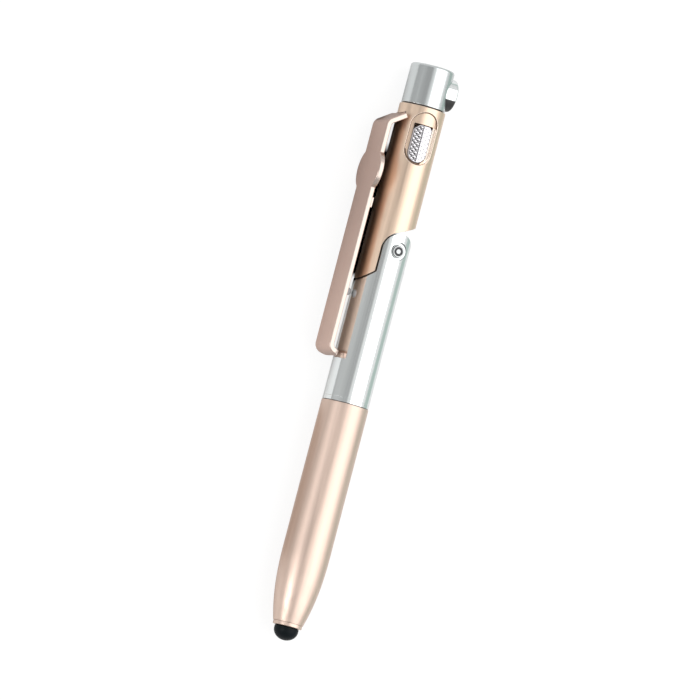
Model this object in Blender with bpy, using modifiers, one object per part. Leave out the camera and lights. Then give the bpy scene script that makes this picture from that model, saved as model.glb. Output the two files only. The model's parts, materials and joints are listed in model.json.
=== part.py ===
"""Folding multi tool pen: ball pen, touch-screen stylus, telephone stand and light.

The pen is built standing on its stylus tip: +Z runs up the pen to the head, +X to the push button, -X to the
clip and -Y to the window of the light. An empty then lays it down as it rests on a table, on its cap and on one
lobe of the clip, with the window up and the head toward +Y.
"""

import math

import bmesh
import bpy
from mathutils import Vector

MM = 0.001

# Clearances and counts
GAP = 0.3 * MM                  # between pieces that touch or are cut by each other
SEAM_GAP = 0.25 * MM            # between turned pieces that meet end to end
RUN_GAP = 0.15 * MM             # pin and button in their bores
OVERRUN = 3.0 * MM              # how far a cutter passes the faces that it cuts
MERGE = 0.001 * MM              # points closer than this are one
SHARP_ANGLE = math.radians(30.0)
ROUND_STEPS = 48
SMALL_STEPS = 24
ARC_STEPS = 6

# Lengths along the pen, from the stylus tip up
DOME_HEIGHT = 3.0 * MM
COLLAR_LIP_HEIGHT = 0.6 * MM
CAP_LENGTH = 53.0 * MM
RING_HEIGHT = 0.6 * MM
BARREL_TO_PIN = 36.6 * MM
PLUG_ABOVE_PIN = 8.3 * MM
SPRING_ROOM = 1.5 * MM          # between plug and cells
CELL_HEIGHT = 3.6 * MM
CELL_COUNT = 3
LENS_ABOVE_CELLS = 0.65 * MM
LENS_ABOVE_WINDOW = 0.75 * MM
WINDOW_HEIGHT = 12.3 * MM
WINDOW_BELOW_TOP = 1.1 * MM

COLLAR_BOTTOM = DOME_HEIGHT + GAP
CAP_BOTTOM = COLLAR_BOTTOM + COLLAR_LIP_HEIGHT + GAP
CAP_TOP = CAP_BOTTOM + CAP_LENGTH
RING_BOTTOM = CAP_TOP + SEAM_GAP
BARREL_BOTTOM = RING_BOTTOM + RING_HEIGHT + SEAM_GAP
PIN_HEIGHT = BARREL_BOTTOM + BARREL_TO_PIN
PLUG_TOP = PIN_HEIGHT + PLUG_ABOVE_PIN
CELL_BOTTOM = PLUG_TOP + SPRING_ROOM
CELL_PITCH = CELL_HEIGHT + GAP
CELL_TOP = CELL_BOTTOM + CELL_COUNT * CELL_PITCH - GAP
LENS_BOTTOM = CELL_TOP + LENS_ABOVE_CELLS
WINDOW_BOTTOM = LENS_BOTTOM - LENS_ABOVE_WINDOW
TUBE_TOP = WINDOW_BOTTOM + WINDOW_HEIGHT + WINDOW_BELOW_TOP
HEAD_BOTTOM = TUBE_TOP + GAP

# Cells, which set how thick the pen is
CELL_RADIUS = 3.95 * MM
CELL_CHAMFER = 0.3 * MM
SLEEVE_WALL = 0.3 * MM
TUBE_WALL = 0.7 * MM
TUBE_BORE = CELL_RADIUS + GAP + SLEEVE_WALL + GAP
TUBE_RADIUS = TUBE_BORE + TUBE_WALL

# Folding hinge, in the plane of the clip and the button
BARREL_PROUD = 0.03 * MM        # how far the barrel stands out past the tube
BARREL_WALL = 0.7 * MM
BARREL_RADIUS = TUBE_RADIUS + BARREL_PROUD
PIN_OFFSET = 1.5 * MM           # from the pen's axis toward the button
EAR_PROUD = 0.04 * MM
EAR_RADIUS = BARREL_RADIUS - PIN_OFFSET + EAR_PROUD
FOLD_ANGLE = math.radians(115.0)
SHOULDER_DROP = 5.9 * MM        # from the pin down to the ears' shoulder
SHOULDER_ANGLE = math.radians(45.0)
SLOT_HALF = 2.5 * MM            # half the slot between the ears
TONGUE_RADIUS = 3.5 * MM
TONGUE_EDGE = 1.4 * MM          # from the pin to the tongue's straight edge
SLOT_DEPTH = TONGUE_RADIUS + GAP + RUN_GAP
BLOCK_BELOW_PIN = 11.0 * MM     # solid end of the barrel under the pin
PIN_RADIUS = 1.0 * MM
PIN_HEAD_RADIUS = 1.45 * MM
PIN_HEAD_HEIGHT = 0.75 * MM
PIN_HEAD_CHAMFER = 0.2 * MM
COUNTERBORE_RADIUS = 2.1 * MM
EAR_WALL = 1.4 * MM             # left between slot and counterbore

# Head and its push button
HEAD_STEP = 0.27 * MM           # how much slimmer the head is than the tube
HEAD_FILLET = 0.9 * MM
HEAD_CROWN = 1.35 * MM          # above the button's bore
HEAD_TOP_WALL = 1.8 * MM
SPIGOT_LENGTH = 1.4 * MM
SPIGOT_WALL = 0.7 * MM
BUTTON_RADIUS = 3.85 * MM
BUTTON_LEDGE = 0.35 * MM        # below the button's bore
BUTTON_PROUD = 1.17 * MM        # how far the button's face stands out of the head
BUTTON_LENGTH = 3.75 * MM
BUTTON_FILLET = 0.6 * MM
BUTTON_WALL = 1.0 * MM
BUTTON_TRAVEL = 0.7 * MM
BUTTON_BORE = BUTTON_RADIUS + RUN_GAP
BUTTON_HEIGHT = HEAD_BOTTOM + BUTTON_LEDGE + BUTTON_BORE
HEAD_RADIUS = TUBE_RADIUS - HEAD_STEP
BUTTON_REACH = HEAD_RADIUS + BUTTON_PROUD
BUTTON_BACK = BUTTON_REACH - BUTTON_LENGTH
PEN_LENGTH = BUTTON_HEIGHT + BUTTON_BORE + HEAD_CROWN

# Clip: a flat strip bent at both ends, wider at its lobes
CLIP_THICKNESS = 1.25 * MM
CLIP_CLEARANCE = 2.6 * MM       # between tube and clip
CLIP_HALF_WIDTH = 4.85 * MM
CLIP_EDGE = 0.22 * MM
CLIP_ROOT_BELOW_TOP = 3.15 * MM
CLIP_ROOT_REACH = 5.12 * MM     # from the pen's axis to the end of the arm
ARM_SLOPE = math.radians(35.0)
ARM_BEND_RADIUS = 1.5 * MM
TANG_HALF_WIDTH = 2.5 * MM
TANG_LENGTH = 1.1 * MM
HOOK_BELOW_PIN = 25.0 * MM      # from the pin down to the start of the turned-up end
HOOK_RADIUS = 1.6 * MM
HOOK_ANGLE = math.radians(75.0)
HOOK_TAIL = 1.3 * MM
HOOK_CORNER = 1.6 * MM
LOBE_ABOVE_PIN = 17.1 * MM
LOBE_HALF_LENGTH = 4.2 * MM
LOBE_RISE = 2.37 * MM
RIB_ABOVE_PIN = 9.4 * MM
RIB_LENGTH = 2.4 * MM
RIB_HEIGHT = 0.5 * MM
RIB_INSET = 0.5 * MM
PAD_BELOW_PIN = 11.9 * MM
PAD_RADIUS = 0.95 * MM
PAD_STEM_RADIUS = 0.5 * MM
PAD_HOLE_FLOOR = 0.4 * MM       # metal left under the pad's blind hole
PAD_TOUCH_GAP = 0.5 * MM        # between the pad and the barrel

# Window and its light
WINDOW_WIDTH = 6.5 * MM
WINDOW_DEPTH = 0.35 * MM
LENS_WIDTH = 5.0 * MM
LENS_HEIGHT = 8.6 * MM
LENS_CORNER = 0.7 * MM
LENS_PROUD = 0.1 * MM
LENS_THICKNESS = 2.3 * MM
LENS_GAP = 0.2 * MM
LED_RADIUS = 1.5 * MM
LED_FLANGE = 0.2 * MM
LED_FLANGE_HEIGHT = 0.6 * MM
LED_BODY = 1.7 * MM

# Board, switch and contact spring
BOARD_THICKNESS = 0.7 * MM
BOARD_HALF_WIDTH = 1.9 * MM
SWITCH_SIDE = 4.2 * MM
SWITCH_HEIGHT = 2.4 * MM
PLUNGER_RADIUS = 0.9 * MM
SPRING_WIRE = 0.15 * MM         # radius of the wire
SPRING_TURNS = 2.0
SPRING_BASE_RADIUS = 3.2 * MM
SPRING_TOP_RADIUS = 1.7 * MM
CURL_POINTS = 10

# Ball pen under the cap
GRIP_GAP = 0.32 * MM            # between grip and liner
GRIP_INSERT = 13.0 * MM         # length of the grip inside the barrel
GRIP_TAPER = 24.0 * MM
TIP_RADIUS = 1.3 * MM
TIP_ABOVE_DOME = 7.0 * MM       # from the collar's lip to the grip's front end
CONE_HEIGHT = 6.0 * MM
CONE_RADIUS = 2.6 * MM
REFILL_RADIUS = 1.5 * MM
REFILL_TOP_ROOM = 2.0 * MM
POINT_RADIUS = 0.35 * MM
POINT_SHAFT = 0.9 * MM          # radius of the refill's metal shaft
POINT_REACH = 1.9 * MM          # how far the point stands out of the grip
POINT_TAPER = 1.5 * MM
POINT_ROOM = 4.0 * MM           # length of the shaft inside the grip
O_RING_WIRE = 0.25 * MM
O_RING_BELOW_MOUTH = 6.0 * MM
O_RING_BITE = 0.2 * MM
RING_PROUD = 0.04 * MM

# Cap and stylus
CAP_PROUD = 0.09 * MM           # how far the cap's mouth stands out past the barrel
CAP_SWELL = 0.03 * MM           # how much thicker than its mouth the cap gets
CAP_WALL = 0.6 * MM
CAP_EDGE = 0.15 * MM
NOSE_LENGTH = 17.8 * MM
NOSE_RADIUS = 3.6 * MM
NOSE_POWER = 2.4
NOSE_STEPS = 9
LINER_WALL = 0.35 * MM
COLLAR_RADIUS = 3.4 * MM
COLLAR_STEM = 3.0 * MM
COLLAR_WALL = 0.8 * MM
DOME_RADIUS = 2.9 * MM
DOME_SKIRT = 0.5 * MM
NECK_LENGTH = 2.6 * MM

LENS_FACE = TUBE_RADIUS - WINDOW_DEPTH + LENS_PROUD
CLIP_CENTRE = TUBE_RADIUS + CLIP_CLEARANCE + CLIP_THICKNESS / 2.0
CLIP_INNER = TUBE_RADIUS + CLIP_CLEARANCE
CLIP_ROOT = TUBE_TOP - CLIP_ROOT_BELOW_TOP
LOBE_HALF_WIDTH = CLIP_HALF_WIDTH + LOBE_RISE
PLUG_RADIUS = TUBE_BORE - GAP
HEAD_SPIGOT_RADIUS = TUBE_BORE - GAP
HEAD_BORE = HEAD_SPIGOT_RADIUS - SPIGOT_WALL
HEAD_CEILING = PEN_LENGTH - HEAD_TOP_WALL
BOARD_FACE = LED_RADIUS + LED_FLANGE + GAP
SWITCH_TOP = SWITCH_HEIGHT - BOARD_FACE + GAP
CAP_MOUTH_RADIUS = BARREL_RADIUS + CAP_PROUD
CAP_RADIUS = CAP_MOUTH_RADIUS + CAP_SWELL
LINER_OUTER = CAP_MOUTH_RADIUS - CAP_WALL - GAP
LINER_BORE = LINER_OUTER - LINER_WALL
GRIP_RADIUS = LINER_BORE - GRIP_GAP
BARREL_BORE = BARREL_RADIUS - BARREL_WALL
GRIP_FRONT = COLLAR_BOTTOM + TIP_ABOVE_DOME
REFILL_BOTTOM = GRIP_FRONT + POINT_ROOM
REFILL_TOP = PIN_HEIGHT - BLOCK_BELOW_PIN - REFILL_TOP_ROOM


# Scene set-up and helpers

def clear_scene():
    """Remove whatever the scene holds."""
    for item in list(bpy.data.objects):
        bpy.data.objects.remove(item, do_unlink=True)


def new_collection(name):
    group = bpy.data.collections.new(name)
    bpy.context.scene.collection.children.link(group)
    return group


def metal(name, colour, roughness, metallic=1.0):
    """A Principled material of one colour."""
    material = bpy.data.materials.new(name)
    material.use_nodes = True
    shader = material.node_tree.nodes["Principled BSDF"]
    shader.inputs["Base Color"].default_value = (*colour, 1.0)
    shader.inputs["Roughness"].default_value = roughness
    shader.inputs["Metallic"].default_value = metallic
    return material


def plastic(name, colour, roughness):
    return metal(name, colour, roughness, metallic=0.0)


def place(item, material, cutter=False):
    """Put an object into its collection, under the empty that lays the pen down."""
    if cutter:
        CUTTERS.objects.link(item)
        item.hide_render = True
        item.display_type = "WIRE"
    else:
        PARTS.objects.link(item)
        item.data.materials.append(material)
    item.parent = PEN
    return item


def mesh_object(name, shape, material=None, cutter=False):
    """Turn a bmesh into an object."""
    mesh = bpy.data.meshes.new(name)
    shape.to_mesh(mesh)
    shape.free()
    return place(bpy.data.objects.new(name, mesh), material, cutter)


def turned(name, profile, material=None, cutter=False, steps=ROUND_STEPS):
    """A body of revolution about its own Z from (radius, height) points, outer side first, top to bottom."""
    shape = bmesh.new()
    points = [shape.verts.new((radius, 0.0, height)) for radius, height in profile]
    for first, second in zip(points, points[1:]):
        shape.edges.new((first, second))
    if profile[0][0] > 0.0:
        shape.edges.new((points[-1], points[0]))
    item = mesh_object(name, shape, material, cutter)
    screw = item.modifiers.new("turn", "SCREW")
    screw.axis = "Z"
    screw.angle = math.tau
    screw.steps = steps
    screw.render_steps = steps
    screw.use_merge_vertices = True
    screw.merge_threshold = MERGE
    return item


def rod(name, radius, bottom, top, steps=ROUND_STEPS, material=None, cutter=True):
    """A plain cylinder about Z between two heights."""
    shape = bmesh.new()
    size = {"radius1": radius, "radius2": radius, "depth": top - bottom}
    bmesh.ops.create_cone(shape, cap_ends=True, segments=steps, **size)
    bmesh.ops.translate(shape, vec=(0.0, 0.0, (top + bottom) / 2.0), verts=shape.verts)
    return mesh_object(name, shape, material, cutter)


def arc(centre, radius, start, end, steps=ARC_STEPS):
    """Points along an arc, both ends included."""
    points = []
    for step in range(steps + 1):
        angle = start + (end - start) * step / steps
        points.append((centre[0] + radius * math.cos(angle), centre[1] + radius * math.sin(angle)))
    return points


def plate(name, outline, thickness, material=None, cutter=False, along="Y"):
    """A flat outline, extruded evenly to both sides of its plane, as a mesh.

    Along Y the outline's points are (x, z), and along X they are (y, z).
    """
    curve = bpy.data.curves.new(name, "CURVE")
    curve.dimensions = "2D"
    curve.fill_mode = "BOTH"
    curve.extrude = thickness / 2.0
    spline = curve.splines.new("POLY")
    spline.points.add(len(outline) - 1)
    for point, (across, up) in zip(spline.points, outline):
        point.co = (across, up, 0.0, 1.0)
    spline.use_cyclic_u = True
    flat = bpy.data.objects.new(name + "_outline", curve)
    bpy.context.scene.collection.objects.link(flat)
    flat.rotation_euler = (math.pi / 2.0, 0.0, 0.0 if along == "Y" else math.pi / 2.0)
    bpy.context.view_layer.update()
    ready = flat.evaluated_get(bpy.context.evaluated_depsgraph_get())
    mesh = bpy.data.meshes.new_from_object(ready)
    mesh.transform(flat.matrix_world)
    shape = bmesh.new()
    shape.from_mesh(mesh)
    bmesh.ops.remove_doubles(shape, verts=shape.verts, dist=MERGE)
    bmesh.ops.recalc_face_normals(shape, faces=shape.faces)
    bpy.data.objects.remove(flat, do_unlink=True)
    return mesh_object(name, shape, material, cutter)


def box(name, size, centre, material=None, cutter=False):
    """A box of a size about a centre."""
    shape = bmesh.new()
    bmesh.ops.create_cube(shape, size=1.0)
    bmesh.ops.scale(shape, vec=Vector(size), verts=shape.verts)
    bmesh.ops.translate(shape, vec=Vector(centre), verts=shape.verts)
    return mesh_object(name, shape, material, cutter)


def boolean(item, tool, operation="DIFFERENCE"):
    """Cut, join or intersect one object with another."""
    modifier = item.modifiers.new(operation.lower(), "BOOLEAN")
    modifier.operation = operation
    modifier.solver = "EXACT"
    modifier.object = tool
    return item


def bevel(item, width, segments=1):
    """Round the edges of an object that are sharper than 40 degrees."""
    modifier = item.modifiers.new("edges", "BEVEL")
    modifier.width = width
    modifier.segments = segments
    modifier.limit_method = "ANGLE"
    modifier.angle_limit = math.radians(40.0)
    return item


def smooth_group():
    """Node group that shades a mesh smooth but for its edges sharper than an angle."""
    group = bpy.data.node_groups.new("smooth_by_angle", "GeometryNodeTree")
    group.interface.new_socket("Geometry", in_out="INPUT", socket_type="NodeSocketGeometry")
    angle = group.interface.new_socket("Angle", in_out="INPUT", socket_type="NodeSocketFloat")
    angle.subtype = "ANGLE"
    angle.default_value = SHARP_ANGLE
    group.interface.new_socket("Geometry", in_out="OUTPUT", socket_type="NodeSocketGeometry")
    start = group.nodes.new("NodeGroupInput")
    edge = group.nodes.new("GeometryNodeInputMeshEdgeAngle")
    sharp = group.nodes.new("FunctionNodeCompare")
    sharp.operation = "GREATER_THAN"
    faces = group.nodes.new("GeometryNodeSetShadeSmooth")
    edges = group.nodes.new("GeometryNodeSetShadeSmooth")
    edges.domain = "EDGE"
    edges.inputs["Shade Smooth"].default_value = False
    end = group.nodes.new("NodeGroupOutput")
    links = group.links
    links.new(start.outputs["Geometry"], faces.inputs["Geometry"])
    links.new(faces.outputs["Geometry"], edges.inputs["Geometry"])
    links.new(edge.outputs["Unsigned Angle"], sharp.inputs[0])
    links.new(start.outputs["Angle"], sharp.inputs[1])
    links.new(sharp.outputs["Result"], edges.inputs["Selection"])
    links.new(edges.outputs["Geometry"], end.inputs["Geometry"])
    return group


def shade_parts():
    """Shade every mesh smooth between its sharp edges."""
    group = smooth_group()
    for item in PARTS.objects:
        if item.type == "MESH":
            item.modifiers.new("smooth", "NODES").node_group = group


def along_x(item, height):
    """Point a turned piece's axis toward +X, at a height on the pen."""
    item.rotation_euler = (0.0, math.pi / 2.0, 0.0)
    item.location = (0.0, 0.0, height)
    return item


def along_window(item, across, height):
    """Point a turned piece's axis toward the window side, -Y."""
    item.rotation_euler = (math.pi / 2.0, 0.0, 0.0)
    item.location = (across, 0.0, height)
    return item


# Folding hinge

def ear_outline():
    """The lower half in the plane of the fold: barrel, shoulder and round ears."""
    side = BARREL_RADIUS + OVERRUN
    left = PIN_OFFSET - EAR_RADIUS
    shoulder = PIN_HEIGHT - SHOULDER_DROP
    outer_shoulder = shoulder - (side + left) * math.tan(SHOULDER_ANGLE)
    outline = [(side, PIN_HEIGHT), (side, BARREL_BOTTOM - OVERRUN), (-side, BARREL_BOTTOM - OVERRUN)]
    outline += [(-side, outer_shoulder), (left, shoulder)]
    outline += arc((PIN_OFFSET, PIN_HEIGHT), EAR_RADIUS, math.pi, 0.0, 4 * ARC_STEPS)
    return outline


def seam_outline():
    """What the upper half leaves free: the ears and their way round to the folded stop."""
    side = BARREL_RADIUS + OVERRUN
    radius = EAR_RADIUS + GAP
    left = PIN_OFFSET - radius
    shoulder = PIN_HEIGHT - SHOULDER_DROP + GAP * math.tan(SHOULDER_ANGLE / 2.0)
    outer_shoulder = shoulder - (side + left) * math.tan(SHOULDER_ANGLE)
    round_top = arc((PIN_OFFSET, PIN_HEIGHT), radius, math.pi, FOLD_ANGLE, 2 * ARC_STEPS)
    stop_x, stop_z = round_top[-1]
    rise = (side - stop_x) / math.tan(math.pi - FOLD_ANGLE)
    bottom = outer_shoulder - OVERRUN
    outline = [(side, bottom), (-side, bottom), (-side, outer_shoulder), (left, shoulder)]
    return outline + round_top + [(side, stop_z + rise)]


def tongue_outline():
    """The tongue between the ears: a round end on the pin and a strip up into the plug."""
    lean = math.acos(TONGUE_EDGE / TONGUE_RADIUS)
    left = PIN_OFFSET - EAR_RADIUS - GAP - GAP
    top = PLUG_TOP - TUBE_WALL
    outline = [(left, PIN_HEIGHT), (left, top), (PIN_OFFSET + TONGUE_EDGE, top)]
    return outline + arc((PIN_OFFSET, PIN_HEIGHT), TONGUE_RADIUS, lean, -math.pi, 4 * ARC_STEPS)


def mirrored(half):
    """A whole profile from its upper half."""
    return half + [(radius, -height) for radius, height in reversed(half)]


def make_hinge():
    """Plug with its tongue, barrel with its ears, and the riveted pin."""
    across = 2.0 * (BARREL_RADIUS + OVERRUN)
    seam = plate("seam_cutter", seam_outline(), across, cutter=True)
    tongue = plate("tongue_form", tongue_outline(), 2.0 * (SLOT_HALF - GAP), cutter=True)
    pin_bore = rod("pin_bore_cutter", PIN_RADIUS + RUN_GAP, -across / 2.0, across / 2.0, SMALL_STEPS)
    along_window(pin_bore, PIN_OFFSET, PIN_HEIGHT)

    knuckle_bottom = PIN_HEIGHT - SHOULDER_DROP - 2.0 * EAR_RADIUS
    knuckle = rod("hinge_knuckle", PLUG_RADIUS, knuckle_bottom, PLUG_TOP, material=STEEL, cutter=False)
    boolean(knuckle, seam)
    boolean(knuckle, tongue, "UNION")
    boolean(knuckle, pin_bore)

    ears = plate("ear_form", ear_outline(), across, cutter=True)
    slot_top = PIN_HEIGHT + EAR_RADIUS + OVERRUN
    slot_floor = PIN_HEIGHT - SLOT_DEPTH
    slot_size = (across, 2.0 * SLOT_HALF, slot_top - slot_floor)
    slot = box("slot_cutter", slot_size, (0.0, 0.0, (slot_top + slot_floor) / 2.0), cutter=True)
    barrel = turned("lower_barrel", barrel_profile(), SILVER)
    boolean(barrel, ears, "INTERSECT")
    boolean(barrel, slot)
    head_seat = SLOT_HALF + EAR_WALL
    half = [(0.0, across), (COUNTERBORE_RADIUS, across), (COUNTERBORE_RADIUS, head_seat)]
    half += [(PIN_RADIUS + RUN_GAP, head_seat)]
    pin_seat = turned("pin_seat_cutter", mirrored(half), cutter=True, steps=SMALL_STEPS)
    boolean(barrel, along_window(pin_seat, PIN_OFFSET, PIN_HEIGHT))

    inner = head_seat + RUN_GAP
    outer = inner + PIN_HEAD_HEIGHT
    small = PIN_HEAD_RADIUS - PIN_HEAD_CHAMFER
    half = [(0.0, outer), (small, outer), (PIN_HEAD_RADIUS, outer - PIN_HEAD_CHAMFER)]
    half += [(PIN_HEAD_RADIUS, inner), (PIN_RADIUS, inner)]
    pin = turned("hinge_pin", mirrored(half), SILVER, steps=SMALL_STEPS)
    along_window(pin, PIN_OFFSET, PIN_HEIGHT)
    return seam


def barrel_profile():
    """Lower barrel before its ears are cut: a tube with a solid upper end."""
    top = PIN_HEIGHT + EAR_RADIUS + OVERRUN
    block = PIN_HEIGHT - BLOCK_BELOW_PIN
    return [(0.0, top), (BARREL_RADIUS, top), (BARREL_RADIUS, BARREL_BOTTOM), (BARREL_BORE, BARREL_BOTTOM),
            (BARREL_BORE, block), (0.0, block)]


# Upper half

def lens_outline(margin):
    """Lens as seen from the front: round below, corners cut above. A margin widens it for its opening."""
    half = LENS_WIDTH / 2.0 + margin
    low = LENS_BOTTOM + LENS_WIDTH / 2.0
    top = LENS_BOTTOM + LENS_HEIGHT + margin
    outline = arc((0.0, low), half, math.pi, math.tau, 2 * ARC_STEPS)
    return outline + [(half, top - LENS_CORNER), (half - LENS_CORNER, top), (LENS_CORNER - half, top),
                      (-half, top - LENS_CORNER)]


def stadium_outline():
    """Window recess: a slot with two round ends."""
    radius = WINDOW_WIDTH / 2.0
    low = (0.0, WINDOW_BOTTOM + radius)
    high = (0.0, WINDOW_BOTTOM + WINDOW_HEIGHT - radius)
    return arc(low, radius, math.pi, math.tau, 2 * ARC_STEPS) + arc(high, radius, 0.0, math.pi, 2 * ARC_STEPS)


def front_half(item, depth):
    """Move a plate of a depth so that it starts at the pen's middle plane and ends past the window side."""
    item.location = (0.0, -depth / 2.0, 0.0)
    return item


def make_upper_tube(seam):
    """Tube with the hinge cut, the window and the slot that the clip's tang goes through."""
    bottom = PIN_HEIGHT - SHOULDER_DROP - 2.0 * EAR_RADIUS
    profile = [(TUBE_RADIUS, TUBE_TOP), (TUBE_RADIUS, bottom), (TUBE_BORE, bottom), (TUBE_BORE, TUBE_TOP)]
    tube = turned("upper_tube", profile, ROSE_GOLD)
    boolean(tube, seam)

    depth = TUBE_RADIUS + OVERRUN
    recess = front_half(plate("window_cutter", stadium_outline(), depth, cutter=True), depth)
    core = rod("window_core", TUBE_RADIUS - WINDOW_DEPTH, WINDOW_BOTTOM - OVERRUN, TUBE_TOP + OVERRUN)
    boolean(recess, core)
    boolean(tube, recess)
    opening = front_half(plate("lens_opening_cutter", lens_outline(LENS_GAP), depth, cutter=True), depth)
    boolean(tube, opening)

    half_rise = CLIP_THICKNESS / 2.0 / math.cos(ARM_SLOPE)
    inner_rise = (CLIP_ROOT_REACH - TUBE_BORE) * math.tan(ARM_SLOPE)
    outer_rise = (CLIP_ROOT_REACH - TUBE_RADIUS) * math.tan(ARM_SLOPE)
    slot_low = CLIP_ROOT + outer_rise - half_rise - GAP
    slot_high = CLIP_ROOT + inner_rise + half_rise + GAP
    slot_size = (TUBE_RADIUS, 2.0 * (TANG_HALF_WIDTH + GAP), slot_high - slot_low)
    centre = (-TUBE_RADIUS, 0.0, (slot_high + slot_low) / 2.0)
    boolean(tube, box("tang_slot_cutter", slot_size, centre, cutter=True))

    lens = front_half(plate("window_lens", lens_outline(0.0), depth, CLEAR), depth)
    face = rod("lens_face_form", LENS_FACE, LENS_BOTTOM - OVERRUN, TUBE_TOP + OVERRUN)
    boolean(lens, face, "INTERSECT")
    back = LENS_FACE - LENS_THICKNESS
    behind = (WINDOW_WIDTH, 2.0 * back, LENS_HEIGHT + OVERRUN)
    trim = box("lens_back_cutter", behind, (0.0, 0.0, LENS_BOTTOM + LENS_HEIGHT / 2.0), cutter=True)
    boolean(lens, trim)


def make_head():
    """Head with a spigot, hollow from below, and the push button in its side."""
    top = PEN_LENGTH
    profile = [(0.0, top), (HEAD_RADIUS - HEAD_FILLET, top)]
    corner = (HEAD_RADIUS - HEAD_FILLET, top - HEAD_FILLET)
    profile += arc(corner, HEAD_FILLET, math.pi / 2.0, 0.0)[1:]
    low = HEAD_BOTTOM - SPIGOT_LENGTH
    profile += [(HEAD_RADIUS, HEAD_BOTTOM), (HEAD_SPIGOT_RADIUS, HEAD_BOTTOM), (HEAD_SPIGOT_RADIUS, low)]
    profile += [(HEAD_BORE, low), (HEAD_BORE, HEAD_CEILING), (0.0, HEAD_CEILING)]
    head = turned("head_cap", profile, SILVER)
    bore_back = BUTTON_BACK - BUTTON_TRAVEL - GAP
    bore = rod("button_bore_cutter", BUTTON_BORE, bore_back, BUTTON_REACH + OVERRUN)
    boolean(head, along_x(bore, BUTTON_HEIGHT))

    front = BUTTON_REACH
    edge = (BUTTON_RADIUS - BUTTON_FILLET, front - BUTTON_FILLET)
    profile = [(0.0, front)] + arc(edge, BUTTON_FILLET, math.pi / 2.0, 0.0, 3)
    inner = BUTTON_RADIUS - BUTTON_WALL
    ceiling = front - BUTTON_WALL
    profile += [(BUTTON_RADIUS, BUTTON_BACK), (inner, BUTTON_BACK), (inner, ceiling), (0.0, ceiling)]
    along_x(turned("side_button", profile, SILVER), BUTTON_HEIGHT)
    plunger = rod("switch_plunger", PLUNGER_RADIUS, SWITCH_TOP + BUTTON_TRAVEL + GAP, ceiling - GAP, SMALL_STEPS,
                  WHITE, cutter=False)
    along_x(plunger, BUTTON_HEIGHT)


def make_light():
    """Board with its switch and light emitting diode."""
    low = CELL_TOP + GAP
    high = HEAD_CEILING - GAP
    size = (BOARD_THICKNESS, 2.0 * BOARD_HALF_WIDTH, high - low)
    box("light_board", size, (-BOARD_FACE - BOARD_THICKNESS / 2.0, 0.0, (low + high) / 2.0), GREEN)
    size = (SWITCH_HEIGHT, SWITCH_SIDE, SWITCH_SIDE)
    bevel(box("push_switch", size, (SWITCH_TOP - SWITCH_HEIGHT / 2.0, 0.0, BUTTON_HEIGHT), BLACK), CELL_CHAMFER)

    tip = LENS_FACE - LENS_THICKNESS - GAP
    dome = (0.0, tip - LED_RADIUS)
    profile = arc(dome, LED_RADIUS, math.pi / 2.0, 0.0)
    flange_top = dome[1] - LED_BODY
    flange = LED_RADIUS + LED_FLANGE
    low = flange_top - LED_FLANGE_HEIGHT
    profile += [(LED_RADIUS, flange_top), (flange, flange_top), (flange, low), (0.0, low)]
    profile[0] = (0.0, tip)
    led = turned("led", profile, AMBER, steps=SMALL_STEPS)
    along_window(led, 0.0, LENS_BOTTOM + LENS_HEIGHT / 2.0)


def make_cells():
    """Three button cells in their sleeve on a contact spring."""
    for number in range(CELL_COUNT):
        low = CELL_BOTTOM + number * CELL_PITCH
        high = low + CELL_HEIGHT
        small = CELL_RADIUS - CELL_CHAMFER
        profile = [(0.0, high), (small, high), (CELL_RADIUS, high - CELL_CHAMFER), (CELL_RADIUS, low), (0.0, low)]
        turned("cell_%d" % (number + 1), profile, STEEL, steps=SMALL_STEPS)
    inner = CELL_RADIUS + GAP
    outer = inner + SLEEVE_WALL
    profile = [(outer, CELL_TOP), (outer, CELL_BOTTOM), (inner, CELL_BOTTOM), (inner, CELL_TOP)]
    turned("cell_sleeve", profile, BLACK, steps=SMALL_STEPS)

    curve = bpy.data.curves.new("contact_spring", "CURVE")
    curve.dimensions = "3D"
    curve.bevel_depth = SPRING_WIRE
    curve.bevel_resolution = 1
    curve.use_fill_caps = True
    spline = curve.splines.new("POLY")
    count = int(SPRING_TURNS * CURL_POINTS)
    spline.points.add(count)
    low = PLUG_TOP + GAP + SPRING_WIRE
    high = CELL_BOTTOM - GAP - SPRING_WIRE
    for step, point in enumerate(spline.points):
        share = step / count
        radius = SPRING_BASE_RADIUS + (SPRING_TOP_RADIUS - SPRING_BASE_RADIUS) * share
        angle = math.tau * SPRING_TURNS * share
        height = low + (high - low) * share
        point.co = (radius * math.cos(angle), radius * math.sin(angle), height, 1.0)
    place(bpy.data.objects.new("contact_spring", curve), STEEL)


# Clip

def clip_half_width(height):
    """Half the clip's width at a height: plain, but for the round lobe."""
    away = abs(height - PIN_HEIGHT - LOBE_ABOVE_PIN)
    if away >= LOBE_HALF_LENGTH:
        return CLIP_HALF_WIDTH
    radius = (LOBE_HALF_LENGTH ** 2 + LOBE_RISE ** 2) / (2.0 * LOBE_RISE)
    return CLIP_HALF_WIDTH + math.sqrt(radius ** 2 - away ** 2) - (radius - LOBE_RISE)


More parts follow.
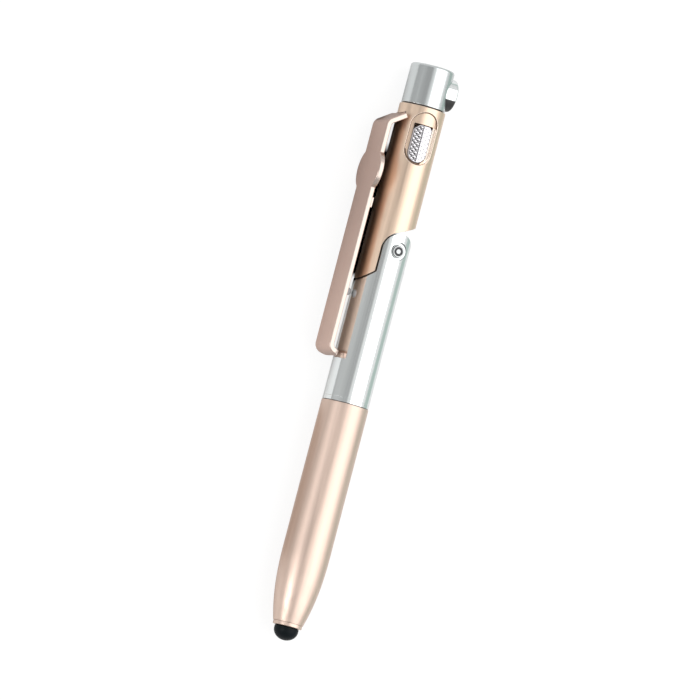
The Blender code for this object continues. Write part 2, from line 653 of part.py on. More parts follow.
def clip_path():
    """Centre line of the strip from the turned-up end to the arm's root, as (x, z, half width)."""
    hook_top = PIN_HEIGHT - HOOK_BELOW_PIN
    bend = arc((HOOK_RADIUS - CLIP_CENTRE, hook_top), HOOK_RADIUS, math.pi + HOOK_ANGLE, math.pi)
    end_x = bend[0][0] + HOOK_TAIL * math.sin(HOOK_ANGLE)
    end_z = bend[0][1] - HOOK_TAIL * math.cos(HOOK_ANGLE)
    path = [(end_x, end_z, CLIP_HALF_WIDTH - HOOK_CORNER)]
    path += [(x, z, CLIP_HALF_WIDTH) for x, z in bend]
    lobe = PIN_HEIGHT + LOBE_ABOVE_PIN
    steps = 2 * ARC_STEPS
    for step in range(steps + 1):
        z = lobe + LOBE_HALF_LENGTH * (2.0 * step / steps - 1.0)
        path.append((-CLIP_CENTRE, z, clip_half_width(z)))
    turn = math.pi / 2.0 - ARM_SLOPE
    corner = CLIP_ROOT - (CLIP_CENTRE - CLIP_ROOT_REACH) * math.tan(ARM_SLOPE)
    start = corner - ARM_BEND_RADIUS * math.tan(turn / 2.0)
    bend = arc((ARM_BEND_RADIUS - CLIP_CENTRE, start), ARM_BEND_RADIUS, math.pi, math.pi - turn)
    path += [(x, z, CLIP_HALF_WIDTH) for x, z in bend]
    return path + [(-CLIP_ROOT_REACH, CLIP_ROOT, CLIP_HALF_WIDTH)]


def make_clip():
    """Strip with its tang, the low rib on its inner face and the round pad."""
    shape = bmesh.new()
    rows = []
    for x, z, half in clip_path():
        columns = (-half, -TANG_HALF_WIDTH, TANG_HALF_WIDTH, half)
        rows.append([shape.verts.new((x, y, z)) for y in columns])
    for low, high in zip(rows, rows[1:]):
        for left in range(3):
            shape.faces.new((low[left], low[left + 1], high[left + 1], high[left]))
    tang_x = -CLIP_ROOT_REACH + TANG_LENGTH * math.cos(ARM_SLOPE)
    tang_z = CLIP_ROOT + TANG_LENGTH * math.sin(ARM_SLOPE)
    ends = [shape.verts.new((tang_x, y, tang_z)) for y in (-TANG_HALF_WIDTH, TANG_HALF_WIDTH)]
    shape.faces.new((rows[-1][1], rows[-1][2], ends[1], ends[0]))
    clip = mesh_object("clip", shape, ROSE_GOLD)
    solid = clip.modifiers.new("plate", "SOLIDIFY")
    solid.thickness = CLIP_THICKNESS
    solid.offset = 0.0
    solid.use_even_offset = True
    bevel(clip, CLIP_EDGE)

    rib_size = (2.0 * RIB_HEIGHT, 2.0 * (CLIP_HALF_WIDTH - RIB_INSET), RIB_LENGTH)
    rib = box("rib_form", rib_size, (-CLIP_INNER, 0.0, PIN_HEIGHT + RIB_ABOVE_PIN), cutter=True)
    boolean(clip, rib, "UNION")
    hole_floor = -CLIP_INNER - CLIP_THICKNESS + PAD_HOLE_FLOOR
    hole = rod("pad_hole_cutter", PAD_STEM_RADIUS + RUN_GAP, hole_floor, -CLIP_INNER + OVERRUN, SMALL_STEPS)
    pad_height = PIN_HEIGHT - PAD_BELOW_PIN
    boolean(clip, along_x(hole, pad_height))
    face = -BARREL_RADIUS - PAD_TOUCH_GAP
    seat = -CLIP_INNER + RUN_GAP
    stem_end = hole_floor + RUN_GAP
    dome = arc((0.0, face - PAD_RADIUS), PAD_RADIUS, math.pi / 2.0, 0.0, 4)
    dome[0] = (0.0, face)
    profile = dome + [(PAD_RADIUS, seat), (PAD_STEM_RADIUS, seat), (PAD_STEM_RADIUS, stem_end), (0.0, stem_end)]
    along_x(turned("clip_pad", profile, GREY_RUBBER, steps=SMALL_STEPS), pad_height)


# Lower half under the cap

def make_ball_pen():
    """Trim ring, grip, friction ring and refill."""
    ring_outer = BARREL_RADIUS + RING_PROUD
    neck = BARREL_BORE - GAP
    ring_inner = neck + GAP
    top = RING_BOTTOM + RING_HEIGHT
    profile = [(ring_outer, top), (ring_outer, RING_BOTTOM), (ring_inner, RING_BOTTOM), (ring_inner, top)]
    turned("trim_ring", profile, SILVER)

    grip_top = BARREL_BOTTOM + GRIP_INSERT
    neck_low = CAP_TOP
    groove = CAP_TOP - O_RING_BELOW_MOUTH
    groove_half = O_RING_WIRE + RUN_GAP
    groove_radius = GRIP_RADIUS - O_RING_WIRE - RUN_GAP
    bore = REFILL_RADIUS + GAP
    tip_bore = POINT_SHAFT + RUN_GAP
    cone_top = GRIP_FRONT + CONE_HEIGHT
    taper_top = cone_top + GRIP_TAPER
    profile = [(neck, grip_top), (neck, neck_low), (GRIP_RADIUS, neck_low), (GRIP_RADIUS, groove + groove_half),
               (groove_radius, groove + groove_half), (groove_radius, groove - groove_half),
               (GRIP_RADIUS, groove - groove_half), (GRIP_RADIUS, taper_top), (CONE_RADIUS, cone_top),
               (TIP_RADIUS, GRIP_FRONT), (tip_bore, GRIP_FRONT), (tip_bore, REFILL_BOTTOM - GAP),
               (bore, REFILL_BOTTOM - GAP), (bore, grip_top)]
    turned("grip_section", profile, BLACK)

    centre = (groove_radius + RUN_GAP / 2.0 + O_RING_WIRE + O_RING_BITE / 2.0, groove)
    circle = arc(centre, O_RING_WIRE, math.pi / 2.0, -1.5 * math.pi, 8)[:-1]
    turned("grip_ring", circle, GREY_RUBBER)

    rod("refill_tube", REFILL_RADIUS, REFILL_BOTTOM, REFILL_TOP, SMALL_STEPS, BLACK, cutter=False)
    point = GRIP_FRONT - POINT_REACH
    profile = [(0.0, REFILL_BOTTOM - GAP), (POINT_SHAFT, REFILL_BOTTOM - GAP), (POINT_SHAFT, point + POINT_TAPER),
               (POINT_RADIUS, point), (0.0, point)]
    turned("refill_tip", profile, STEEL, steps=SMALL_STEPS)


def nose_radius(height):
    """Outer radius of the cap at a height above its lower end."""
    share = min(height / NOSE_LENGTH, 1.0)
    return NOSE_RADIUS + (CAP_RADIUS - NOSE_RADIUS) * (1.0 - (1.0 - share) ** NOSE_POWER)


def make_cap():
    """Cap with its liner, collar and stylus dome."""
    nose = [NOSE_LENGTH * step / NOSE_STEPS for step in range(NOSE_STEPS + 1)]
    outer = [(CAP_MOUTH_RADIUS - CAP_EDGE, CAP_TOP), (CAP_MOUTH_RADIUS, CAP_TOP - CAP_EDGE)]
    outer += [(nose_radius(height), CAP_BOTTOM + height) for height in reversed(nose)]
    inner = [(nose_radius(height) - CAP_WALL, CAP_BOTTOM + height) for height in nose]
    inner += [(CAP_MOUTH_RADIUS - CAP_WALL, CAP_TOP)]
    turned("cap_sleeve", outer + inner, ROSE_GOLD)

    liner_low = CAP_BOTTOM + NOSE_LENGTH
    liner_high = CAP_TOP - GAP
    profile = [(LINER_OUTER, liner_high), (LINER_OUTER, liner_low), (LINER_BORE, liner_low),
               (LINER_BORE, liner_high)]
    turned("cap_liner", profile, BLACK, steps=SMALL_STEPS)

    stem = NOSE_RADIUS - CAP_WALL - GAP
    bore = stem - COLLAR_WALL
    lip_top = COLLAR_BOTTOM + COLLAR_LIP_HEIGHT
    stem_top = lip_top + COLLAR_STEM
    profile = [(stem, stem_top), (stem, lip_top), (COLLAR_RADIUS, lip_top), (COLLAR_RADIUS, COLLAR_BOTTOM),
               (bore, COLLAR_BOTTOM), (bore, stem_top)]
    turned("stylus_collar", profile, ROSE_GOLD)

    neck = bore - GAP
    profile = [(0.0, DOME_HEIGHT + NECK_LENGTH), (neck, DOME_HEIGHT + NECK_LENGTH), (neck, DOME_HEIGHT),
               (DOME_RADIUS, DOME_HEIGHT)]
    height = DOME_HEIGHT - DOME_SKIRT
    steps = 2 * ARC_STEPS
    for step in range(steps + 1):
        angle = math.pi / 2.0 * step / steps
        profile.append((DOME_RADIUS * math.cos(angle), height - height * math.sin(angle)))
    profile[-1] = (0.0, 0.0)
    turned("stylus_tip", profile, RUBBER)


# Resting place

def lay_down():
    """Turn the pen onto its side and set it down on the cap and one lobe of the clip, centred on the origin."""
    reach = math.hypot(CLIP_INNER, LOBE_HALF_WIDTH)
    roll = math.atan2(LOBE_HALF_WIDTH, CLIP_INNER) - math.asin(CAP_RADIUS / reach)
    PEN.rotation_euler = (-math.pi / 2.0, roll, 0.0)
    bpy.context.view_layer.update()
    graph = bpy.context.evaluated_depsgraph_get()
    corners = []
    for item in PARTS.objects:
        ready = item.evaluated_get(graph)
        mesh = ready.to_mesh()
        corners += [ready.matrix_world @ vertex.co for vertex in mesh.vertices]
        ready.to_mesh_clear()
    low = Vector([min(corner[axis] for corner in corners) for axis in range(3)])
    high = Vector([max(corner[axis] for corner in corners) for axis in range(3)])
    PEN.location = (-(low.x + high.x) / 2.0, -(low.y + high.y) / 2.0, -low.z)
    bpy.context.view_layer.update()


clear_scene()
PARTS = new_collection("multi_tool_pen")
CUTTERS = new_collection("cutters")
PEN = bpy.data.objects.new("pen_frame", None)
bpy.context.scene.collection.objects.link(PEN)

ROSE_GOLD = metal("rose_gold", (0.72, 0.47, 0.36), 0.18)
SILVER = metal("polished_silver", (0.82, 0.82, 0.81), 0.08)
STEEL = metal("steel", (0.55, 0.56, 0.58), 0.3)
CLEAR = plastic("clear_lens", (0.93, 0.94, 0.95), 0.05)
AMBER = plastic("led_resin", (0.95, 0.93, 0.80), 0.1)
GREEN = plastic("board_green", (0.05, 0.25, 0.10), 0.5)
WHITE = plastic("white_nylon", (0.85, 0.85, 0.83), 0.4)
BLACK = plastic("black_plastic", (0.03, 0.03, 0.03), 0.4)
GREY_RUBBER = plastic("grey_rubber", (0.30, 0.30, 0.31), 0.7)
RUBBER = plastic("black_rubber", (0.015, 0.017, 0.018), 0.55)

make_upper_tube(make_hinge())
make_head()
make_light()
make_cells()
make_clip()
make_ball_pen()
make_cap()
shade_parts()
lay_down()
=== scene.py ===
"""Studio dress of the folding multi tool pen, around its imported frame.

Pieces are shaped in the pen's standing space, as its maker would draw it: +Z runs up the pen from the
stylus, +X is the push button's side, -X the clip's and -Y the window's. PEN_SPACE lays them down.
"""

import json
import math

import bmesh
import bpy
import numpy as np
from bpy.props import FloatProperty, FloatVectorProperty, PointerProperty
from mathutils import Matrix, Vector


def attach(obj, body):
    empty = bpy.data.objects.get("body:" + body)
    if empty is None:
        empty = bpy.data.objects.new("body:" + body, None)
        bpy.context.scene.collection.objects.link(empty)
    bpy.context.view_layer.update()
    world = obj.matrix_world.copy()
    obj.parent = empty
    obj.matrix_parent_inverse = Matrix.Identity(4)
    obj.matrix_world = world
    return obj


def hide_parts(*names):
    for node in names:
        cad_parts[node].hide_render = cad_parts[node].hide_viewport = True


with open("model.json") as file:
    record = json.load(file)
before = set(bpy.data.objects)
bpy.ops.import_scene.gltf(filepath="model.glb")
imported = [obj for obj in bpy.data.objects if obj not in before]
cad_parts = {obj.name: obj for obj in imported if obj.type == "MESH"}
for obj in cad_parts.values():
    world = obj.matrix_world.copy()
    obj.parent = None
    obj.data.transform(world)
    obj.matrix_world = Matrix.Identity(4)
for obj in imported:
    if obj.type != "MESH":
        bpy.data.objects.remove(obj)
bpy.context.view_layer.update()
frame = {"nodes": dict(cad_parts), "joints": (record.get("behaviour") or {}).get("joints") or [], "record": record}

bl_info = {
    "name": "Folding pen dress",
    "version": (1, 0, 0),
    "blender": (4, 5, 0),
    "location": "View3D > Sidebar > Pen",
    "description": "Fine surfaces, plating and studio for the folding multi tool pen",
    "category": "Object",
}

MM = 0.001

# Clearances that the solids keep, and how far cutters reach past what they cut
GAP = 0.3 * MM
SEAM_GAP = 0.25 * MM
RUN_GAP = 0.15 * MM
FINE_GAP = 0.08 * MM
OVERRUN = 3.0 * MM

# Fineness of the meshes
ROUND_STEPS = 192
SMALL_STEPS = 96
COARSE_STEPS = 48
FILLET_STEPS = 6
FINE_FILLET_STEPS = 10
FINER_FILLET_STEPS = 8
TINY = 1e-7
WELD = 0.012 * MM
SURFACE_TOLERANCE = 0.004 * MM
SAME_FACING = 0.86
SHARP_ANGLE = math.radians(35.0)
UPRIGHT = Matrix()
CUT, JOIN, KEEP = "DIFFERENCE", "UNION", "INTERSECT"

# Heights along the pen
COLLAR_BOTTOM = 3.3 * MM
CAP_BOTTOM = 4.2 * MM
CAP_TOP = 57.2 * MM
RING_HEIGHT = 0.6 * MM
BARREL_BOTTOM = CAP_TOP + SEAM_GAP + RING_HEIGHT + SEAM_GAP
PIN_HEIGHT = 94.9 * MM
PLUG_TOP = 103.2 * MM
WINDOW_BOTTOM = 115.6 * MM
LENS_BOTTOM = 116.2 * MM
CLIP_ROOT = 126.25 * MM
TUBE_TOP = 129.4 * MM
HEAD_BOTTOM = TUBE_TOP + GAP
BUTTON_HEIGHT = 134.05 * MM
PEN_LENGTH = 139.4 * MM

# Small roundings
RIM_EDGE = 0.12 * MM
SEAM_EDGE = 0.02 * MM
MOUTH_EDGE = 0.15 * MM
PLUG_EDGE = 0.2 * MM

# Hinge
PIN_OFFSET = 1.5 * MM
SHOULDER_DROP = 5.9 * MM
SHOULDER_ANGLE = math.radians(45.0)
FOLD_ANGLE = math.radians(115.0)
SLOT_HALF = 2.5 * MM
TONGUE_RADIUS = 3.5 * MM
TONGUE_EDGE = 1.4 * MM
BLOCK_BELOW_PIN = 11.0 * MM
PIN_RADIUS = 1.0 * MM
PIN_HEAD_RADIUS = 1.45 * MM
PIN_HEAD_HEIGHT = 0.75 * MM
PIN_GROOVE = 0.22 * MM                # its depth in the pin's head
PIN_GROOVE_RADIUS = 1.08 * MM
COUNTERBORE_RADIUS = 2.1 * MM
EAR_WALL = 1.4 * MM
RING_PROUD = 0.01 * MM

# Head and button
HEAD_FILLET = 0.65 * MM
HEAD_TOP_WALL = 1.8 * MM
SPIGOT_LENGTH = 1.4 * MM
SPIGOT_WALL = 0.7 * MM
BUTTON_LENGTH = 3.75 * MM
BUTTON_FILLET = 0.6 * MM
BUTTON_WALL = 1.0 * MM
BUTTON_TRAVEL = 0.7 * MM
# Painted shade: the button's side is painted black lower than this part of its radius below its middle
BUTTON_PAINTED_SHADE = 0.33                   # of its radius, below its middle

# Clip
ARM_SLOPE = math.radians(35.0)
ARM_BEND_RADIUS = 1.5 * MM
CLIP_ROOT_REACH = 5.12 * MM
TANG_HALF_WIDTH = 2.5 * MM
TANG_LENGTH = 1.1 * MM
TANG_PLAY = 0.075 * MM
TANG_SLACK = 0.02 * MM
HOOK_BELOW_PIN = 25.0 * MM
HOOK_RADIUS = 1.6 * MM
HOOK_ANGLE = math.radians(75.0)
HOOK_TAIL = 1.3 * MM
HOOK_CORNER = 1.6 * MM
HOOK_STATIONS = 10                    # of the strip, which its round corners may take up
LOBE_ABOVE_PIN = 17.1 * MM
LOBE_HALF_LENGTH = 4.2 * MM
RIB_ABOVE_PIN = 9.4 * MM
RIB_LENGTH = 2.4 * MM
RIB_HEIGHT = 0.5 * MM
RIB_INSET = 0.5 * MM
# Heights over which the clip's strip is painted lighter toward its turned-up end
CLIP_PAINTED_LIGHT_FADE = (105.0 * MM, 78.0 * MM)
# Where shade is painted on the clip's inner side, between the clip and the tube
CLIP_PAINTED_SHADE_HEIGHTS = (86.0 * MM, 88.0 * MM)
CLIP_PAINTED_SHADE_SIDES = (-2.6 * MM, -0.6 * MM)
PAD_BELOW_PIN = 11.9 * MM
PAD_RADIUS = 0.95 * MM
PAD_TOUCH_GAP = 0.15 * MM
PAD_SINK = 0.05 * MM

# Window
WINDOW_DEPTH = 0.45 * MM
WINDOW_LIP = 0.17 * MM
WINDOW_FOOT = 0.28 * MM
# FOOT_SHADE and FLAT_SHADE_SIDE set where shade is painted in the window's recess
FOOT_SHADE = 0.18 * MM                # breadth of the shaded floor beside the foot
FLOOR_PLAY = 0.01 * MM
FLAT_SHADE_SIDE = 0.5 * MM            # the recess's side walls left of this are in the shade
OPENING_CORNER = 0.2 * MM
LENS_CORNERS = (1.2 * MM, 0.7 * MM)   # on the clip's side and on the button's
LENS_SHIFT = -0.24 * MM               # toward the clip
RECESS_SHIFT = -0.12 * MM
LENS_TOP_BORDER = 0.3 * MM
LENS_EDGE = 0.12 * MM
LENS_PROUD = 0.2 * MM
LENS_THICKNESS = 2.3 * MM
LENS_GAP = 0.2 * MM
PRISM_COLUMNS = 11
PRISM_ROWS = 10
PRISM_STRETCH = 1.28
PRISM_FILL = 0.478
PRISM_SINK = 0.01 * MM
PRISM_CALM = 0.45                     # height of the prisms that face the large light
PRISM_GROOVE = 0.2 * MM               # straight groove between the left prisms and the right ones
PRISM_GROOVE_PLACE = -0.12 * MM       # from the lens's middle

# Facings, as parts of a whole normal
CLIPWARD = -0.38                      # flank of a prism on the clip's side
EDGE_ON = 0.55                        # cut edges of the clip
FLAT_ON = 0.8
SEAT_WALL = 0.7

# Ball pen and cap
GRIP_INSERT = 13.0 * MM
GRIP_TAPER = 24.0 * MM
GRIP_SWELL = 40.0 * MM
GRIP_FRONT = 10.3 * MM
TIP_RADIUS = 1.3 * MM
CONE_HEIGHT = 6.0 * MM
CONE_RADIUS = 2.6 * MM
CONE_FILLET = 2.0 * MM
POINT_ROOM = 4.0 * MM
POINT_SHAFT = 0.9 * MM
POINT_RADIUS = 0.35 * MM
POINT_REACH = 1.9 * MM
POINT_TAPER = 1.5 * MM
REFILL_RADIUS = 1.5 * MM
O_RING_WIRE = 0.25 * MM
O_RING_BELOW_MOUTH = 6.0 * MM
O_RING_BITE = 0.2 * MM
CAP_WALL = 0.6 * MM
NOSE_LENGTH = 17.8 * MM
NOSE_RADIUS = 3.6 * MM
NOSE_POWER = 2.4
COLLAR_STEM = 3.0 * MM
COLLAR_WALL = 0.8 * MM
DOME_HEIGHT = COLLAR_BOTTOM - FINE_GAP
DOME_SKIRT = 0.72 * MM
NECK_LENGTH = 2.4 * MM

# Camera, as the photograph was taken
FRAME_SPAN = 164.34 * MM
VIEW_TURN = math.radians(20.0)        # from the window's side toward the clip
VIEW_DROP = math.radians(4.5)         # toward the stylus
VIEW_LEAN = math.atan(0.2619)         # how far the pen leans to the right
AIM_ASIDE = -2.13 * MM
AIM_HEIGHT = 69.925 * MM
CAMERA_DISTANCE = 2.6
SENSOR = 36.0

# Lights and room
KEY_LEAN = math.radians(42.0)         # from overhead toward the button's side
KEY_TOWARD = (math.sin(KEY_LEAN), 0.08, math.cos(KEY_LEAN))
KEY_DISTANCE = 1.0
KEY_SIZE = (1.2, 1.6)
GLOW_SIZE = (2.07, 1.75)
FILL_TOWARD = (-0.711, -0.292, 0.640)
FILL_SIZE = (0.75, 0.6)
FILL_DISTANCE = 1.3
WALL_HEIGHT = 0.45
FAR_RAMP = (0.3, 0.8)
FLOOR_REACH = 4.0
BLACK = (0.0, 0.0, 0.0)

# Painted patches of the floor, in millimetres: where each rises (start, end) and falls (start, end) across the
# floor, from the pen's middle, and along it. They paint a reflected tone on the right, shade by the cap and a
# black shadow in the crevice under the clip
SHADE_REACH = (6.0 * MM, 16.0 * MM)
PAINTED_REFLECTION_SIDES = (12.0, 20.0, 150.0, 250.0)
CAP_PAINTED_SHADE_SIDES = (-400.0, -300.0, -9.0, -7.0)
CAP_PAINTED_SHADE_ENDS = (-60.0, -48.0, -15.0, -12.0)
CREVICE_PAINTED_SHADOW_SIDES = (-12.0, -10.0, -3.0, -2.0)
CREVICE_PAINTED_SHADOW_ENDS = (12.0, 17.0, 57.0, 59.0)
CREVICE_PAINTED_SHADOW_SEEN_SIDES = (-6.5, -5.7, -4.3, -3.5)
CREVICE_PAINTED_SHADOW_SEEN_ENDS = (17.0, 18.5, 48.0, 51.0)


def pen_space():
    """Matrix that lays the standing pen down into the frame."""
    head = next(mount for mount in frame["record"]["mounts"] if mount["name"] == "head_top")
    press = next(joint for joint in frame["joints"] if joint["name"] == "button_press")
    up = Vector(head["axis"]).normalized()
    side = -Vector(press["axis"]).normalized()
    matrix = Matrix((side, up.cross(side), up)).transposed().to_4x4()
    matrix.translation = Vector(head["pos_m"]) - up * PEN_LENGTH
    return matrix


PEN_SPACE = pen_space()


# Sizes and colours that a user may change

def properties(rows, kind=FloatProperty, **settings):
    """Annotations of a property group, from rows of (name, default, description)."""
    return {key: kind(name=key.replace("_", " ").capitalize(), description=about, default=value, min=0.0,
                      **settings) for key, value, about in rows}


def colours(rows):
    return properties(rows, FloatVectorProperty, max=1.0, size=3, subtype="COLOR")


class PenSizes(bpy.types.PropertyGroup):
    """Sizes of the pen's visible pieces."""
    __annotations__ = properties((
        ("tube_radius", 5.55 * MM, "Outer radius of the upper tube"),
        ("tube_wall", 0.7 * MM, "Wall of the upper tube"),
        ("barrel_radius", 5.58 * MM, "Outer radius of the lower barrel"),
        ("ear_radius", 4.12 * MM, "Radius of the hinge's ears about the pin"),
        ("head_radius", 5.28 * MM, "Outer radius of the head"),
        ("button_radius", 3.85 * MM, "Radius of the push button"),
        ("button_reach", 6.45 * MM, "From the pen's axis to the button's face"),
        ("clip_thickness", 1.25 * MM, "Thickness of the clip's strip"),
        ("clip_clearance", 2.6 * MM, "Gap between the tube and the clip"),
        ("clip_half_width", 4.85 * MM, "Half the width of the clip's strip"),
        ("clip_edge", 0.3 * MM, "Radius of the clip's rounded edges"),
        ("lobe_rise", 2.37 * MM, "How far the clip's round lobes stand out"),
        ("window_width", 6.7 * MM, "Width of the window's recess"),
        ("window_height", 12.6 * MM, "Height of the window's recess"),
        ("lens_width", 4.3 * MM, "Width of the clear lens"),
        ("lens_height", 8.8 * MM, "Height of the clear lens"),
        ("prism_pitch", 1.03 * MM, "Distance between the lens's prisms"),
        ("prism_height", 0.2 * MM, "Height of the lens's prisms"),
        ("edge_break", 0.07 * MM, "Radius of the edges left by cutting"),
        ("cap_radius", 5.70 * MM, "Largest outer radius of the cap"),
        ("cap_mouth_radius", 5.67 * MM, "Outer radius of the cap at its mouth"),
        ("collar_radius", 3.48 * MM, "Radius of the collar's lip above the stylus"),
        ("dome_radius", 2.9 * MM, "Radius of the stylus's rubber dome"),
        ("grip_radius", 4.10 * MM, "Radius of the ball pen's grip"),
    ), unit="LENGTH", precision=5)


class PenStudio(bpy.types.PropertyGroup):
    """Floor and light."""
    __annotations__ = {
        **colours((
            ("floor", (0.8, 0.8, 0.8), "Colour of the floor"),
            # Painted reflection and painted shade: floor tones that only metal and glass mirror
            ("side_tone", (0.46, 0.55, 0.515), "What metal mirrors from the floor close on the right"),
            ("cap_tone", (0.50, 0.44, 0.40), "What the cap mirrors from the floor on the left"),
        )),
        **properties((
            ("backdrop_seen", 0.77, "How much of the white backdrop the camera sees"),
            ("backdrop_mirrored", 0.2, "How much of the white backdrop metal and glass show"),
            ("zenith", 0.46, "Brightness of the room above the pen"),
            ("wall", 0.57, "Brightness of the room half way up"),
            ("far_lift", 0.5, "How much brighter the room is beyond the head"),
            ("horizon", 0.50, "Brightness of the room at the floor's edge"),
        ), max=1.0, subtype="FACTOR"),
        **properties((
            ("backdrop", 1.1, "Brightness of the white that the floor shows"),
            ("key", 1.5, "Brightness of the large light on the right"),
            ("glow", 0.4, "Brightness of the wider glow around the large light"),
            ("fill", 3.2, "Brightness of the light in front on the left"),
        )),
    }


# Turned profiles and flat outlines

def profile_runs(corners, closed=False, steps=FILLET_STEPS):
    """Straight and rounded runs of a turned profile, each a list of ((radius, height), (normal)).

    Corners are (radius, height), with a fillet where they are rounded, and go down the piece's outer side.
    """
    count = len(corners)
    joints = []
    for number, (radius, height, *fillet) in enumerate(corners):
        here = Vector((radius, height))
        if not fillet or not closed and number in (0, count - 1):
            joints.append((here, here, []))
            continue
        arrive = (here - Vector(corners[number - 1][:2])).normalized()
        leave = (Vector(corners[(number + 1) % count][:2]) - here).normalized()
        turn = math.atan2(arrive.x * leave.y - arrive.y * leave.x, arrive.dot(leave))
        back = fillet[0] * math.tan(abs(turn) / 2.0)
        start = here - arrive * back
        centre = start + Vector((-arrive.y, arrive.x)) * math.copysign(fillet[0], turn)
        bend = []
        for step in range(steps + 1):
            spin = Matrix.Rotation(turn * step / steps, 2)
            along = spin @ arrive
            bend.append((tuple(centre + spin @ (start - centre)), (-along.y, along.x)))
        joints.append((start, here + leave * back, bend))
    runs = []
    for number in range(count if closed else count - 1):
        if joints[number][2]:
            runs.append(joints[number][2])
        first = joints[number][1]
        last = joints[(number + 1) % count][0]
        if (last - first).length > TINY:
            along = (last - first).normalized()
            normal = (-along.y, along.x)
            runs.append([(tuple(first), normal), (tuple(last), normal)])
    return runs


def curve_run(points):
    """One smooth run through points, with normals by central differences."""
    run = []
    for before, point, after in zip(points[:1] + points, points, points[1:] + points[-1:]):
        along = (Vector(after) - Vector(before)).normalized()
        run.append((tuple(point), (-along.y, along.x)))
    return run


def mirrored(half):
    """Corners of a whole profile, from those of its upper half."""
    return half + [(radius, -height, *fillet) for radius, height, *fillet in reversed(half)]


def arc(centre, radius, start, end, steps):
    """Points along an arc, both ends included."""
    angles = [start + (end - start) * step / steps for step in range(steps + 1)]
    return [(centre[0] + radius * math.cos(a), centre[1] + radius * math.sin(a)) for a in angles]


def straight(first, last, steps):
    """Points along a straight line, both ends included."""
    return [tuple(Vector(first).lerp(Vector(last), step / steps)) for step in range(steps + 1)]


# Meshes

def as_mesh(shape, recalculate=False):
    """Close a bmesh into a mesh."""
    if recalculate:
        bmesh.ops.remove_doubles(shape, verts=shape.verts, dist=TINY)
        bmesh.ops.recalc_face_normals(shape, faces=shape.faces)
    mesh = bpy.data.meshes.new("shape")
    shape.to_mesh(mesh)
    shape.free()
    return mesh


def bridge(shape, rows, closed=True):
    """Faces between each row of vertices and the next, with doubled corners left out."""
    for near, far in zip(rows, rows[1:]):
        for this in range(len(near) if closed else len(near) - 1):
            following = (this + 1) % len(near)
            corners = dict.fromkeys((near[this], far[this], far[following], near[following]))
            if len(corners) > 2:
                shape.faces.new(list(corners))


def turned(runs, steps=ROUND_STEPS, place=UPRIGHT):
    """Mesh turned about Z from profile runs, and put in its place."""
    points = []
    for run in runs:
        for point, _ in run:
            if not points or math.dist(points[-1], point) > TINY:
                points.append(point)
    ring = points[0][0] > TINY
    if ring and math.dist(points[0], points[-1]) < TINY:
        points.pop()
    shape = bmesh.new()
    angles = [math.tau * step / steps for step in range(steps)]
    rows = []
    for radius, height in points:
        if radius <= TINY:
            rows.append([shape.verts.new((0.0, 0.0, height))] * steps)
        else:
            circle = [(radius * math.cos(a), radius * math.sin(a), height) for a in angles]
            rows.append([shape.verts.new(point) for point in circle])
    bridge(shape, rows + rows[:1] if ring else rows)
    mesh = as_mesh(shape)
    mesh.transform(place)
    return mesh


def rod(radius, bottom, top, steps=ROUND_STEPS, place=UPRIGHT):
    """Plain cylinder about Z, put in its place, used as a cutter."""
    return turned(profile_runs([(0.0, top), (radius, top), (radius, bottom), (0.0, bottom)]), steps, place)


def extruded(outline, low, high):
    """Flat outline of (x, z) points, extruded from y = low to y = high."""
    shape = bmesh.new()
    ends = [[shape.verts.new((x, y, z)) for x, z in outline] for y in (low, high)]
    for end in ends:
        shape.faces.new(end)
    bridge(shape, ends)
    return as_mesh(shape, recalculate=True)


def block(size, centre):
    """Box of a size about a centre."""
    shape = bmesh.new()
    bmesh.ops.create_cube(shape, size=1.0, matrix=Matrix.LocRotScale(centre, None, size))
    return as_mesh(shape)


def along_x(height):
    """Place of a turned piece whose axis points to +X at a height."""
    return Matrix.Translation((0.0, 0.0, height)) @ Matrix.Rotation(math.pi / 2.0, 4, "Y")


def along_window(across, height):
    """Place of a turned piece whose axis points to the window side."""
    return Matrix.Translation((across, 0.0, height)) @ Matrix.Rotation(math.pi / 2.0, 4, "X")


def linked(name, data):
    """New object in the scene."""
    item = bpy.data.objects.new(name, data)
    bpy.context.scene.collection.objects.link(item)
    return item


def settled(item):
    """Mesh of an object after its modifiers."""
    bpy.context.view_layer.update()
    return bpy.data.meshes.new_from_object(item.evaluated_get(bpy.context.evaluated_depsgraph_get()))


def combined(body, tools, edge=0.0):
    """Mesh of a body after its tools, which are (operation, mesh), and with its edges broken."""
    item = linked("blank", body)
    spent = [item]
    for operation, mesh in tools:
        cut = item.modifiers.new("cut", "BOOLEAN")
        cut.operation = operation
        cut.solver = "EXACT"
        cut.object = linked("tool", mesh)
        spent.append(cut.object)
    if edge > 0.0:
        item.modifiers.new("weld", "WELD").merge_threshold = WELD
        rounding = item.modifiers.new("edges", "BEVEL")
        rounding.width = edge
        rounding.segments = 3
        rounding.limit_method = "ANGLE"
        rounding.angle_limit = SHARP_ANGLE
        rounding.use_clamp_overlap = False
        rounding.miter_outer = "MITER_ARC"
    mesh = settled(item)
    for old in spent:
        data = old.data
        bpy.data.objects.remove(old, do_unlink=True)
        bpy.data.meshes.remove(data)
    return mesh


def gathered(items, key, kind=np.float32, width=3):
    """One attribute of many parts of a mesh, by rows."""
    values = np.empty(len(items) * width, kind)
    items.foreach_get(key, values)
    return values.reshape(-1, width).astype(float) if width > 1 else values


